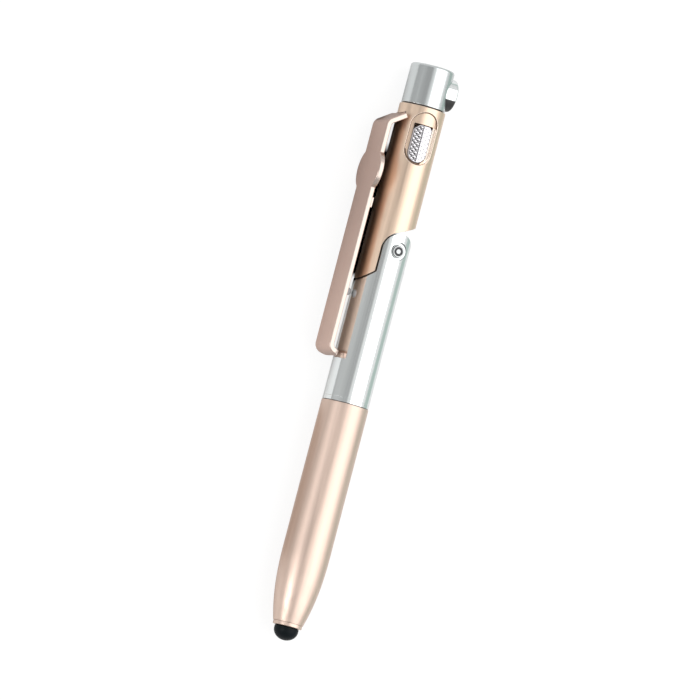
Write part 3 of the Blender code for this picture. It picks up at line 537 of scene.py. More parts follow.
def shade_true(mesh, place, runs):
    """Shade a mesh smooth, with exact normals where a corner lies on a surface that is turned from the runs.

    Place is the matrix from the profile's own space to the mesh's.
    """
    mesh.shade_smooth()
    mesh.set_sharp_from_angle(angle=SHARP_ANGLE)
    if not runs:
        return
    turn = np.array(place.to_3x3())
    normals = gathered(mesh.corner_normals, "vector")
    corners = gathered(mesh.loops, "vertex_index", np.int32, 1)
    sides = gathered(mesh.polygons, "loop_total", np.int32, 1)
    local = (gathered(mesh.vertices, "co")[corners] - np.array(place.translation)) @ turn
    facing = np.repeat(gathered(mesh.polygons, "normal"), sides, axis=0) @ turn
    radius = np.hypot(local[:, 0], local[:, 1])
    outward = local[:, :2] / np.maximum(radius, 1e-9)[:, None]
    faces_out = (facing[:, :2] * outward).sum(1)
    nearest = np.full(len(normals), SURFACE_TOLERANCE)
    for run in runs:
        for (first, normal_a), (last, normal_b) in zip(run, run[1:]):
            edge = np.array(last) - np.array(first)
            size = float(edge @ edge)
            if size < 1e-18:
                continue
            offset = np.stack([radius - first[0], local[:, 2] - first[1]], 1)
            part = np.clip(offset @ edge / size, 0.0, 1.0)[:, None]
            away = np.hypot(*(offset - part * edge).T)
            mixed = (1.0 - part) * np.array(normal_a) + part * np.array(normal_b)
            mixed /= np.maximum(np.hypot(*mixed.T), 1e-9)[:, None]
            agrees = mixed[:, 0] * faces_out + mixed[:, 1] * facing[:, 2] > SAME_FACING
            chosen = agrees & (away < nearest)
            nearest[chosen] = away[chosen]
            exact = np.concatenate([outward * mixed[:, :1], mixed[:, 1:]], 1) @ turn.T
            normals[chosen] = exact[chosen]
    mesh.normals_split_custom_set(normals.astype(np.float32).tolist())


# Finish, body and slot of each piece, and the node that it replaces
PIECES = {
    "upper_shell": ("rose_gold_plate", "upper_half", "rose_gold", "upper_tube"),
    "hinge_tongue": ("blackened_steel", "upper_half", "steel", "hinge_knuckle"),
    "lens_body": ("frosted_acrylic", "upper_half", "clear_lens", "window_lens"),
    "lens_prisms": ("frosted_acrylic", "upper_half", "clear_lens"),
    "head_shell": ("head_plate", "upper_half", "polished_silver", "head_cap"),
    "push_button": ("silver_plate", "button", "polished_silver", "side_button"),
    "clip_strip": ("clip_satin_plate", "upper_half", "rose_gold", "clip"),
    "clip_tang": ("clip_satin_plate", "upper_half", "rose_gold"),
    "clip_rib": ("clip_satin_plate", "upper_half", "rose_gold"),
    "rubber_pad": ("soft_grey_rubber", "upper_half", "grey_rubber", "clip_pad"),
    "barrel_shell": ("silver_plate", "lower_half", "polished_silver", "lower_barrel"),
    "rivet": ("pin_steel", "lower_half", "polished_silver", "hinge_pin"),
    "silver_ring": ("silver_plate", "lower_half", "polished_silver", "trim_ring"),
    "pen_grip": ("black_moulding", "lower_half", "black_plastic", "grip_section"),
    "friction_ring": ("soft_grey_rubber", "lower_half", "grey_rubber", "grip_ring"),
    "ball_point": ("bright_steel", "lower_half", "steel", "refill_tip"),
    "cap_shell": ("cap_satin_plate", "cap", "rose_gold", "cap_sleeve"),
    "stylus_lip": ("cap_satin_plate", "cap", "rose_gold", "stylus_collar"),
    "rubber_dome": ("soft_black_rubber", "cap", "black_rubber", "stylus_tip"),
}


def make_piece(name, mesh, runs=(), place=UPRIGHT):
    """Lay a mesh down in the frame as a piece of the pen, shaded by the runs that it is turned from."""
    finish, body, slot, *replaced = PIECES[name]
    mesh.transform(PEN_SPACE @ place)
    mesh.update()
    shade_true(mesh, PEN_SPACE @ place, runs)
    mesh.materials.clear()
    mesh.materials.append(finish_named(finish))
    mesh.name = name
    item = linked(name, mesh)
    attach(item, body)
    if replaced:
        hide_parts(*replaced)
    return item


def repaint(item, finish, chosen):
    """Give the faces whose centre and normal pass a test, in the pen's space, one more finish."""
    item.data.materials.append(finish_named(finish))
    added = len(item.data.materials) - 1
    stand = PEN_SPACE.inverted()
    turn = stand.to_3x3()
    for face in item.data.polygons:
        if chosen(stand @ face.center, turn @ face.normal):
            face.material_index = added


# Nodes

def feed(tree, item, values):
    """Link a node's inputs to sockets or set them to numbers."""
    for key, value in values.items():
        if isinstance(value, bpy.types.NodeSocket):
            tree.links.new(value, item.inputs[key])
        else:
            item.inputs[key].default_value = value


def node(tree, kind, values=None, **settings):
    """Outputs of a new node, after its settings are made and its inputs fed."""
    item = tree.nodes.new(kind)
    for key, value in settings.items():
        setattr(item, key, value)
    feed(tree, item, values or {})
    return item.outputs


def reckon(tree, operation, first, *others):
    """Result of a maths operation on sockets and numbers, one after another."""
    for other in others:
        first = node(tree, "ShaderNodeMath", {0: first, 1: other}, operation=operation)[0]
    return first


def times(tree, *factors):
    return reckon(tree, "MULTIPLY", *factors)


def apart(tree, source):
    """A vector's X, Y and Z."""
    return node(tree, "ShaderNodeSeparateXYZ", {0: source})


def noise(tree, source, scale, stretch=(1.0, 1.0, 1.0)):
    """Noise on pen-aligned coordinates, drawn out along an axis by a stretch below 1."""
    squeezed = node(tree, "ShaderNodeMapping", {"Vector": source, "Scale": stretch})[0]
    return node(tree, "ShaderNodeTexNoise", {"Vector": squeezed, "Scale": scale, "Detail": 3.0})["Fac"]


def spread(tree, source, low, high, start=0.35, end=0.65):
    """Map a noise or a place to a range of values."""
    return node(tree, "ShaderNodeMapRange", {"Value": source, "From Min": start, "From Max": end,
                                             "To Min": low, "To Max": high})["Result"]


def between(tree, source, limits):
    """1 where a length lies between two ramps, which are four limits in millimetres, 0 outside them."""
    limits = [limit * MM for limit in limits]
    risen = spread(tree, source, 0.0, 1.0, *limits[:2])
    return times(tree, risen, spread(tree, source, 1.0, 0.0, *limits[2:]))


def blended(tree, factor, first, second):
    """Colour that goes from the first to the second by a factor."""
    return node(tree, "ShaderNodeMix", {"Factor": factor, 6: first, 7: second}, data_type="RGBA")[2]


def tinted(tree, source, base, depth):
    """Colour that varies with a noise, from a base down to a slightly deeper tone."""
    item = tree.nodes.new("ShaderNodeValToRGB")
    tree.links.new(source, item.inputs["Fac"])
    for element, position, lightness in zip(item.color_ramp.elements, (0.35, 0.65), (1.0 - depth, 1.0)):
        element.position = position
        element.color = (*[value * lightness for value in base], 1.0)
    return item.outputs["Color"]


def bumped(tree, distance, *heights):
    """Normal after bumps of (height, strength), one after another."""
    values = {"Distance": distance}
    for height, strength in heights:
        values.update({"Height": height, "Strength": strength})
        values["Normal"] = node(tree, "ShaderNodeBump", values)["Normal"]
    return values["Normal"]


# Finishes

def plated(tree, upright, base, roughness, grain=0.02, painted_light_tone="", ramps=()):
    """Plated metal with drawn-out polishing lines and a fine satin grain.

    It turns to the painted light tone where every ramp, which is (axis of the pen, start, end), has risen; on the
    clip this paints a lighter tone toward its turned-up end and shade between the clip and the tube.
    """
    lines = noise(tree, upright, 2600.0, (1.0, 1.0, 0.02))
    satin = noise(tree, upright, 9000.0)
    plate = tinted(tree, lines, base, 0.04)
    if ramps:
        axes = apart(tree, upright)
        risen = [spread(tree, axes[axis], 0.0, 1.0, *ends) for axis, *ends in ramps]
        tone = getattr(bpy.context.scene.pen_finishes, painted_light_tone)
        plate = blended(tree, times(tree, *risen), plate, (*tone, 1.0))
    return {"Metallic": 1.0, "Base Color": plate,
            "Roughness": spread(tree, lines, roughness * 0.85, roughness * 1.15),
            "Normal": bumped(tree, 0.01 * MM, (lines, grain), (satin, grain))}


def moulded(tree, upright, base, roughness, grain=0.1, depth=0.15, gloss=0.5):
    """Moulded plastic or rubber with a fine matt grain."""
    fine = noise(tree, upright, 5000.0)
    broad = noise(tree, upright, 300.0)
    return {"Specular IOR Level": gloss, "Base Color": tinted(tree, broad, base, depth),
            "Roughness": spread(tree, fine, roughness * 0.85, roughness * 1.15),
            "Normal": bumped(tree, 0.02 * MM, (fine, grain))}


def clear(tree, upright, base, transmission, roughness):
    """Clear moulded plastic with faint clouding."""
    cloud = noise(tree, upright, 900.0)
    return {"IOR": 1.49, "Transmission Weight": transmission, "Base Color": tinted(tree, cloud, base, 0.02),
            "Roughness": spread(tree, cloud, roughness * 0.6, roughness * 1.4)}


# Maker, colour, what has the finish, and the maker's further values
FINISHES = {
    "rose_gold_plate": (plated, (0.80, 0.62, 0.48), "Tube", 0.36),
    # Painted highlight: lighter, smoother gold on the recess's rim and on its lit side right of the lens
    "rim_gold": (plated, (0.98, 0.86, 0.76), "Worn bright edge of the window's recess", 0.25),
    # Painted shade: dark gold on the recess's foot and walls
    "shaded_gold": (plated, (0.20, 0.13, 0.09), "Foot of the window's recess", 0.4),
    # Painted light: the strip turns lighter toward its turned-up end
    "clip_satin_plate": (plated, (0.54, 0.375, 0.31), "Clip's strip", 0.34, 0.04, "clip_end",
                         [("Z", *CLIP_PAINTED_LIGHT_FADE)]),
    # Painted light: a lighter copy of the clip's plate on its inner side, turning to painted shade deep between
    # the clip and the tube
    "clip_inner_plate": (plated, (0.78, 0.60, 0.50), "Side of the clip that faces the pen", 0.62, 0.04,
                         "clip_shade", [("Z", *CLIP_PAINTED_SHADE_HEIGHTS), ("Y", *CLIP_PAINTED_SHADE_SIDES)]),
    # Polished edges, also painted lighter than the strip as a highlight
    "clip_edge_plate": (plated, (0.66, 0.55, 0.49), "Polished edges of the clip", 0.3),
    "cap_satin_plate": (plated, (0.75, 0.585, 0.495), "Cap and collar", 0.41, 0.04),
    "silver_plate": (plated, (0.83, 0.86, 0.855), "Barrel, ring and push button", 0.13),
    "head_plate": (plated, (0.65, 0.68, 0.68), "Head", 0.21),
    "bright_steel": (plated, (0.55, 0.56, 0.58), "Tongue, ball point, cells and spring", 0.25),
    "pin_steel": (plated, (0.50, 0.51, 0.51), "Head of the hinge's pin", 0.2),
    # Painted shade: dark steel on the walls of the pin's counterbore
    "shaded_steel": (plated, (0.17, 0.17, 0.175), "Seat of the hinge's pin", 0.3),
    # Blackened steel, also dark to paint the shade in the hinge's and head's seams and in the groove of the pin's
    # head
    "blackened_steel": (plated, (0.10, 0.10, 0.105), "Inside of the hinge and groove of its pin", 0.4),
    # Lens finishes painted by facing: glinting metal as a painted reflection, dark and grey as painted shade
    "silvered_acrylic": (plated, (0.97, 0.95, 0.985), "Prism flanks that mirror the light", 0.32),
    "frosted_acrylic": (clear, (0.97, 0.95, 0.985), "Lens", 0.1, 0.12),
    "shaded_acrylic": (clear, (0.06, 0.06, 0.065), "Prism flanks that show the dark inside", 0.25, 0.15),
    "smoked_acrylic": (clear, (0.40, 0.39, 0.40), "Prism flanks between dark and bright", 0.1, 0.15),
    "clouded_acrylic": (clear, (0.50, 0.48, 0.50), "Prism flanks on the bright half", 0.1, 0.15),
    "diode_resin": (clear, (0.95, 0.94, 0.88), "Light emitting diode", 0.5, 0.1),
    "green_board": (moulded, (0.05, 0.25, 0.10), "Circuit board", 0.45),
    "black_moulding": (moulded, (0.03, 0.03, 0.03), "Grip and inner sleeves", 0.38),
    "nylon_moulding": (moulded, (0.85, 0.85, 0.83), "Switch plunger", 0.4, 0.1, 0.04),
    "soft_grey_rubber": (moulded, (0.42, 0.42, 0.44), "Clip pad and friction ring", 0.6, 0.2),
    "soft_black_rubber": (moulded, (0.005, 0.008, 0.010), "Stylus dome", 0.42, 0.15, 0.15, 0.1),
}


class PenFinishes(bpy.types.PropertyGroup):
    """Colours of the pen's finishes."""
    __annotations__ = colours([(key, tone, about) for key, (_, tone, about, *_) in FINISHES.items()] + [
        # Painted light: lighter plate toward the clip's turned-up end
        ("clip_end", (0.67, 0.475, 0.395), "Satin plate toward the clip's turned-up end"),
        # Painted shade between the clip and the tube
        ("clip_shade", (0.14, 0.08, 0.055), "Depth between the clip and the tube"),
    ])


def finish_named(name):
    """Finish of the pen by name, made on first use."""
    known = bpy.data.materials.get(name)
    if known:
        return known
    maker, _, _, *values = FINISHES[name]
    finish = bpy.data.materials.new(name)
    finish.use_nodes = True
    tree = finish.node_tree
    upright = node(tree, "ShaderNodeMapping", {
        "Vector": node(tree, "ShaderNodeTexCoord")["Object"], "Location": PEN_SPACE.translation,
        "Rotation": PEN_SPACE.to_euler()}, vector_type="TEXTURE")[0]
    base = getattr(bpy.context.scene.pen_finishes, name)
    feed(tree, tree.nodes["Principled BSDF"], maker(tree, upright, base, *values))
    return finish


# Hinge outlines, in the plane of the fold

def fold_edge(sizes, gap=0.0, end=0.0, steps=SMALL_STEPS):
    """Edge between the halves, with a gap around it: sloping shoulder, straight side and round top."""
    side = sizes.barrel_radius + OVERRUN
    radius = sizes.ear_radius + gap
    left = PIN_OFFSET - radius
    shoulder = PIN_HEIGHT - SHOULDER_DROP + gap * math.tan(SHOULDER_ANGLE / 2.0)
    outer_shoulder = shoulder - (side + left) * math.tan(SHOULDER_ANGLE)
    round_top = arc((PIN_OFFSET, PIN_HEIGHT), radius, math.pi, end, steps)
    return [(-side, outer_shoulder), (left, shoulder)] + round_top


def ear_outline(sizes):
    """Barrel, shoulder and round ears of the lower half."""
    edge = fold_edge(sizes)
    side = -edge[0][0]
    bottom = BARREL_BOTTOM - OVERRUN
    return [(side, PIN_HEIGHT), (side, bottom), (-side, bottom)] + edge


def seam_outline(sizes):
    """What the upper half leaves free for the ears and their way round."""
    edge = fold_edge(sizes, GAP, FOLD_ANGLE, SMALL_STEPS // 2)
    side = -edge[0][0]
    bottom = edge[0][1] - OVERRUN
    stop_x, stop_z = edge[-1]
    rise = (side - stop_x) / math.tan(math.pi - FOLD_ANGLE)
    return [(side, bottom), (-side, bottom)] + edge + [(side, stop_z + rise)]


def tongue_outline(sizes):
    """Tongue between the ears: a round end on the pin and a strip up into the plug."""
    lean = math.acos(TONGUE_EDGE / TONGUE_RADIUS)
    left = PIN_OFFSET - sizes.ear_radius - GAP - GAP
    top = PLUG_TOP - sizes.tube_wall
    outline = [(left, PIN_HEIGHT), (left, top), (PIN_OFFSET + TONGUE_EDGE, top)]
    return outline + arc((PIN_OFFSET, PIN_HEIGHT), TONGUE_RADIUS, lean, -math.pi, SMALL_STEPS)


# Window outlines, seen from the window's side

def round_foot(sizes, half):
    """Lower end of the lens or of its opening."""
    return arc((0.0, LENS_BOTTOM + sizes.lens_width / 2.0), half, math.pi, math.tau, SMALL_STEPS // 2)


def lens_outline(sizes, inset=0.0, top_inset=0.0):
    """Lens from the front: round below, corners cut above."""
    half = sizes.lens_width / 2.0 - inset
    top = LENS_BOTTOM + sizes.lens_height - top_inset
    left, right = LENS_CORNERS
    outline = round_foot(sizes, half)
    outline += [(half, top - right), (half - right, top), (left - half, top), (-half, top - left)]
    return [(x + LENS_SHIFT, z) for x, z in outline]


def opening_outline(sizes):
    """Hole that the lens sits in: round below, nearly square above."""
    half = sizes.lens_width / 2.0 + LENS_GAP
    corner = OPENING_CORNER
    level = LENS_BOTTOM + sizes.lens_height + LENS_GAP - corner
    outline = round_foot(sizes, half) + arc((half - corner, level), corner, 0.0, math.pi / 2.0, 8)
    outline += arc((corner - half, level), corner, math.pi / 2.0, math.pi, 8)
    return [(x + LENS_SHIFT, z) for x, z in outline]


def recess_cutter(sizes):
    """Cutter of the window's recess: a slot with round ends, a rounded lip and foot, bent to the tube."""
    radius = sizes.window_width / 2.0
    low = WINDOW_BOTTOM + radius
    high = WINDOW_BOTTOM + sizes.window_height - radius
    lip_start = math.radians(15.0)
    lip = arc((WINDOW_LIP, WINDOW_LIP), WINDOW_LIP, -math.pi / 2.0 - lip_start, -math.pi, 5)
    outside = (lip[0][0] + math.cos(lip_start) * MM, lip[0][1] - math.sin(lip_start) * MM)
    foot = arc((-WINDOW_FOOT, WINDOW_DEPTH - WINDOW_FOOT), WINDOW_FOOT, 0.0, math.pi / 2.0, 5)
    profile = [(outside[0], -OVERRUN), outside] + lip + foot + [(-WINDOW_FOOT - FOOT_SHADE, WINDOW_DEPTH)]
    shape = bmesh.new()

    def spot(across, height, depth):
        level = sizes.tube_radius - depth
        across += RECESS_SHIFT
        return shape.verts.new((across, -math.sqrt(level ** 2 - across ** 2), height))

    angles = [math.pi / 2.0 * step / 24 for step in range(-24, 25)]
    rings = []
    for grow, depth in profile:
        right, left = [], []
        for angle in angles:
            height = (low if angle < 0.0 else high) + (radius + grow) * math.sin(angle)
            across = (radius + grow) * math.cos(angle)
            right.append(spot(across, height, depth))
            left.append(spot(-across, height, depth))
        left[0], left[-1] = right[0], right[-1]
        rings.append(right + left[-2:0:-1])
    bridge(shape, [ring + ring[:1] for ring in rings], closed=False)
    for point in rings[0]:
        point.co.y = -sizes.tube_radius - OVERRUN
    shape.faces.new(rings[0])
    rows = []
    for near, far in zip(right, left):
        if near is far:
            rows.append([near] * 13)
            continue
        across = near.co.x - RECESS_SHIFT
        inner = [spot(across * (step / 6.0 - 1.0), near.co.z, WINDOW_DEPTH) for step in range(1, 12)]
        rows.append([far] + inner + [near])
    bridge(shape, rows, closed=False)
    return as_mesh(shape, recalculate=True)


# Clip strip

def clip_stations(sizes):
    """Centre line of the strip from the turned-up end to the arm's end, as (x, z)."""
    centre = sizes.tube_radius + sizes.clip_clearance + sizes.clip_thickness / 2.0
    hook_top = PIN_HEIGHT - HOOK_BELOW_PIN
    hook = arc((HOOK_RADIUS - centre, hook_top), HOOK_RADIUS, math.pi + HOOK_ANGLE, math.pi, 16)
    tail = (hook[0][0] + HOOK_TAIL * math.sin(HOOK_ANGLE), hook[0][1] - HOOK_TAIL * math.cos(HOOK_ANGLE))
    lobe = PIN_HEIGHT + LOBE_ABOVE_PIN
    reach = LOBE_HALF_LENGTH * 1.25
    below, above = (-centre, lobe - reach), (-centre, lobe + reach)
    turn = math.pi / 2.0 - ARM_SLOPE
    corner = CLIP_ROOT - (centre - CLIP_ROOT_REACH) * math.tan(ARM_SLOPE)
    start = corner - ARM_BEND_RADIUS * math.tan(turn / 2.0)
    bend = arc((ARM_BEND_RADIUS - centre, start), ARM_BEND_RADIUS, math.pi, math.pi - turn, 16)
    line = [tail]
    for part in (straight(tail, hook[0], 8), hook, straight(hook[-1], below, 40), straight(below, above, 48),
                 straight(above, bend[0], 12), bend, straight(bend[-1], (-CLIP_ROOT_REACH, CLIP_ROOT), 8)):
        line += part[1:]
    return line


def lobe_width(sizes, height):
    """How far the lobe stands out past the strip's side at a height, blended into it."""
    away = abs(height - PIN_HEIGHT - LOBE_ABOVE_PIN)
    if away >= LOBE_HALF_LENGTH:
        return 0.0
    radius = (LOBE_HALF_LENGTH ** 2 + sizes.lobe_rise ** 2) / (2.0 * sizes.lobe_rise)
    return math.sqrt(radius ** 2 - away ** 2) - (radius - sizes.lobe_rise)


def make_strip(name, line, widths, half_thickness, edge):
    """Piece of sheet along a line of (x, z) points, with rounded edges, flat ends and its own normals."""
    spots = [Vector(point) for point in line]
    shape = bmesh.new()
    rows, normals = [], []
    quarter = [math.pi / 2.0 * step / 5 for step in range(6)]
    turn = PEN_SPACE.to_3x3()
    for number, spot in enumerate(spots):
        before = max(number - 1, 0)
        after = min(number + 1, len(spots) - 1)
        way = spots[after] - spots[before]
        along = way.normalized()
        across = Vector((along.y, -along.x))
        slope = (widths[after] - widths[before]) / way.length
        row = []
        for side, face in ((1, 1), (-1, 1), (-1, -1), (1, -1)):
            for angle in quarter if side * face > 0 else quarter[::-1]:
                out, up = math.cos(angle), math.sin(angle)
                place = spot + across * (face * (half_thickness - edge + edge * up))
                row.append(shape.verts.new((place.x, side * (widths[number] - edge + edge * out), place.y)))
                flat = across * (face * up) - along * (out * slope)
                normals.append(turn @ Vector((flat.x, side * out, flat.y)).normalized())
        rows.append(row)
    bridge(shape, rows)
    shape.faces.new(rows[0])
    shape.faces.new(rows[-1])
    bmesh.ops.recalc_face_normals(shape, faces=shape.faces)
    strip = make_piece(name, as_mesh(shape))
    strip.data.shade_smooth()
    loops = []
    for face in strip.data.polygons:
        flat_end = face.loop_total == len(rows[0])
        loops += [tuple(face.normal if flat_end else normals[corner]) for corner in face.vertices]
    strip.data.normals_split_custom_set(loops)
    return strip


# Operators

class PEN_OT_upper_tube(bpy.types.Operator):
    """Upper tube with its window recess, and the plug and tongue inside it"""
    bl_idname = "pen.make_upper_tube"
    bl_label = "Upper Tube"

    def execute(self, context):
        sizes = context.scene.pen_sizes
        outer = sizes.tube_radius
        bore = outer - sizes.tube_wall
        bottom = PIN_HEIGHT - SHOULDER_DROP - 2.0 * sizes.ear_radius
        wide = sizes.barrel_radius + OVERRUN
        runs = profile_runs([(outer, TUBE_TOP, RIM_EDGE), (outer, bottom), (bore, bottom),
                             (bore, TUBE_TOP, RIM_EDGE)], closed=True)
        recess_floor = outer - WINDOW_DEPTH
        root = Vector((-CLIP_ROOT_REACH, CLIP_ROOT))
        inward = Vector((math.cos(ARM_SLOPE), math.sin(ARM_SLOPE))) * OVERRUN
        lift = Vector((-inward.y, inward.x)).normalized() * (sizes.clip_thickness / 2.0 + TANG_PLAY)
        slot = [root - inward - lift, root + inward - lift, root + inward + lift, root - inward + lift]
        tube = combined(turned(runs), [
            (CUT, extruded(seam_outline(sizes), -wide, wide)), (CUT, recess_cutter(sizes)),
            (CUT, extruded(opening_outline(sizes), -wide, 0.0)),
            (CUT, extruded(slot, -TANG_HALF_WIDTH - GAP, TANG_HALF_WIDTH + GAP))], sizes.edge_break)
        runs += profile_runs([(recess_floor, TUBE_TOP), (recess_floor, WINDOW_BOTTOM)])
        shell = make_piece("upper_shell", tube, runs)

        lens_side = LENS_SHIFT + sizes.lens_width / 2.0
        lens_top = LENS_BOTTOM + sizes.lens_height
        round_radius = sizes.window_width / 2.0
        round_middle = WINDOW_BOTTOM + round_radius

        def depth(spot):
            """How deep a spot of the recess lies below the tube's surface, 0 outside the recess."""
            above = spot.z - WINDOW_BOTTOM + WINDOW_LIP
            inside = spot.y < 0.0 and 0.0 < above < sizes.window_height + 2.0 * WINDOW_LIP
            return outer - math.hypot(spot.x, spot.y) if inside else 0.0

        # Painted highlight: the recess's rim, and its walls and floor on the lit side right of the lens
        def bright(spot, _):
            lit = spot.x > lens_side and spot.z < lens_top
            deepest = WINDOW_DEPTH + FLOOR_PLAY
            return SURFACE_TOLERANCE < depth(spot) < WINDOW_LIP or lit and WINDOW_LIP < depth(spot) < deepest

        # Painted shade: the recess's walls on the clip's side and above the lens, and the foot and the floor
        # beside it at the lower left
        def shaded(spot, _):
            sunk = depth(spot)
            if WINDOW_LIP < sunk < WINDOW_DEPTH - FLOOR_PLAY:
                if spot.x < FLAT_SHADE_SIDE or spot.z > lens_top:
                    return True
            out = math.hypot(spot.x - RECESS_SHIFT, spot.z - round_middle)
            low_left = spot.x < lens_side / 2.0 and spot.z < round_middle
            at_foot = out > round_radius - WINDOW_FOOT - FOOT_SHADE
            return low_left and at_foot and WINDOW_LIP / 2.0 < sunk < 2.0 * WINDOW_DEPTH

        repaint(shell, "rim_gold", bright)
        repaint(shell, "shaded_gold", shaded)

        plug_radius = bore - GAP
        runs = profile_runs([(0.0, PLUG_TOP), (plug_radius, PLUG_TOP, PLUG_EDGE), (plug_radius, bottom),
                             (0.0, bottom)])
        pin = rod(PIN_RADIUS + RUN_GAP, -wide, wide, COARSE_STEPS, along_window(PIN_OFFSET, PIN_HEIGHT))
        plug = combined(turned(runs, SMALL_STEPS), [
            (CUT, extruded(seam_outline(sizes), -wide, wide)),
            (JOIN, extruded(tongue_outline(sizes), GAP - SLOT_HALF, SLOT_HALF - GAP)), (CUT, pin)],
            sizes.edge_break)
        # The plug and tongue are blackened as painted shade in the hinge's seams; some faces are repainted bright
        # steel
        tongue = make_piece("hinge_tongue", plug, runs)
        repaint(tongue, "bright_steel", lambda spot, facing: abs(facing.y) > FLAT_ON
                or facing.x > SEAT_WALL and spot.x < 0.9 * plug_radius)
        return {"FINISHED"}


class PEN_OT_window(bpy.types.Operator):
    """Clear lens with its prisms, over the light"""
    bl_idname = "pen.make_window"
    bl_label = "Window Lens"

    def execute(self, context):
        sizes = context.scene.pen_sizes
        face = sizes.tube_radius - WINDOW_DEPTH + LENS_PROUD
        split = LENS_SHIFT + PRISM_GROOVE_PLACE
        right = split + PRISM_GROOVE
        body = extruded(lens_outline(sizes), -sizes.tube_radius - OVERRUN, LENS_THICKNESS - face)
        lens = combined(body, [(KEEP, rod(face, LENS_BOTTOM - OVERRUN, TUBE_TOP + OVERRUN))], LENS_EDGE)
        lens = make_piece("lens_body", lens)
        # Painted shade on the lens body's front, left of the groove
        repaint(lens, "shaded_acrylic", lambda spot, facing: spot.x < right and abs(facing.z) < 0.1
                and math.hypot(spot.x, spot.y) > face - TINY - LENS_EDGE / 8.0)

        prisms = make_piece("lens_prisms", prism_mesh(sizes, face))
        prisms.data.shade_flat()
        # Prism flanks painted by facing: glinting metal where they face the light, dark and grey where they face
        # away
        repaint(prisms, "silvered_acrylic", lambda spot, facing: facing.z > 0.0
                and (spot.x > split or facing.x > CLIPWARD) or spot.x > split and facing.x > spot.x / face)
        repaint(prisms, "clouded_acrylic",
                lambda spot, facing: spot.x > right and facing.z < -0.05 and facing.x < spot.x / face)
        repaint(prisms, "shaded_acrylic",
                lambda spot, facing: spot.x < split and facing.x < CLIPWARD and facing.z < 0.0)
        repaint(prisms, "smoked_acrylic",
                lambda spot, facing: spot.x < split and facing.x > CLIPWARD and facing.z < -0.1)
        return {"FINISHED"}


def prism_tree():
    """Node tree that sets out four-sided prisms corner to corner, with every other column shifted."""
    tree = bpy.data.node_groups.new("prism_rows", "GeometryNodeTree")
    sockets = {}
    for side, label, kind in (("INPUT", "Geometry", "Geometry"), ("INPUT", "Pitch", "Float"),
                              ("INPUT", "Height", "Float"), ("INPUT", "Columns", "Int"),
                              ("INPUT", "Rows", "Int"), ("INPUT", "Finish", "Material"),
                              ("OUTPUT", "Geometry", "Geometry")):
        made = tree.interface.new_socket(label, in_out=side, socket_type="NodeSocket" + kind)
        sockets[label] = made.identifier
    given = node(tree, "NodeGroupInput")
    pitch = given["Pitch"]
    half = times(tree, pitch, 0.5)
    values = {}
    for axis, label, step in (("X", "Columns", half), ("Y", "Rows", pitch)):
        gaps = reckon(tree, "SUBTRACT", given[label], 1.0)
        values["Size " + axis] = times(tree, gaps, step)
        values["Vertices " + axis] = given[label]
    grid = node(tree, "GeometryNodeMeshGrid", values)["Mesh"]
    column = reckon(tree, "DIVIDE", apart(tree, node(tree, "GeometryNodeInputPosition")[0])["X"], half)
    shift = times(tree, reckon(tree, "PINGPONG", column, 1.0), half)
    offset = node(tree, "ShaderNodeCombineXYZ", {"Y": shift})[0]
    points = node(tree, "GeometryNodeSetPosition", {"Geometry": grid, "Offset": offset})[0]
    cone = node(tree, "GeometryNodeMeshCone", {
        "Vertices": 4, "Radius Top": 0.0, "Radius Bottom": times(tree, pitch, PRISM_FILL),
        "Depth": given["Height"]})["Mesh"]
    copies = node(tree, "GeometryNodeInstanceOnPoints", {"Points": points, "Instance": cone})[0]
    real = node(tree, "GeometryNodeRealizeInstances", {"Geometry": copies})[0]
    dressed = node(tree, "GeometryNodeSetMaterial", {"Geometry": real, "Material": given["Finish"]})[0]
    node(tree, "NodeGroupOutput", {"Geometry": dressed})
    return tree, sockets


def prism_mesh(sizes, face):
    """Prisms wrapped onto the lens's round face and kept inside its outline."""
    seed = linked("seed", bpy.data.meshes.new("seed"))
    growth = seed.modifiers.new("growth", "NODES")
    growth.node_group, sockets = prism_tree()
    for label, value in (("Pitch", sizes.prism_pitch), ("Height", sizes.prism_height),
                         ("Columns", PRISM_COLUMNS), ("Rows", PRISM_ROWS),
                         ("Finish", finish_named("frosted_acrylic"))):
        growth[sockets[label]] = value
    mesh = settled(seed)
    seed.modifiers.remove(growth)
    bpy.data.objects.remove(seed, do_unlink=True)
    middle = LENS_BOTTOM + sizes.lens_height / 2.0 - sizes.prism_pitch / 4.0
    for vertex in mesh.vertices:
        x, z, rise = vertex.co
        rise *= PRISM_CALM if x > 0.0 else 1.0
        turn = (x * PRISM_STRETCH + LENS_SHIFT) / face
        radius = face - PRISM_SINK + rise
        vertex.co = (radius * math.sin(turn), -radius * math.cos(turn), middle + z)
    inside = extruded(lens_outline(sizes, LENS_EDGE, LENS_TOP_BORDER), -face - OVERRUN, 0.0)
    groove = block((PRISM_GROOVE, 2.0 * (face + OVERRUN), 2.0 * sizes.lens_height),
                   (LENS_SHIFT + PRISM_GROOVE_PLACE, -face, middle))
    return combined(mesh, [(KEEP, inside), (CUT, groove)])


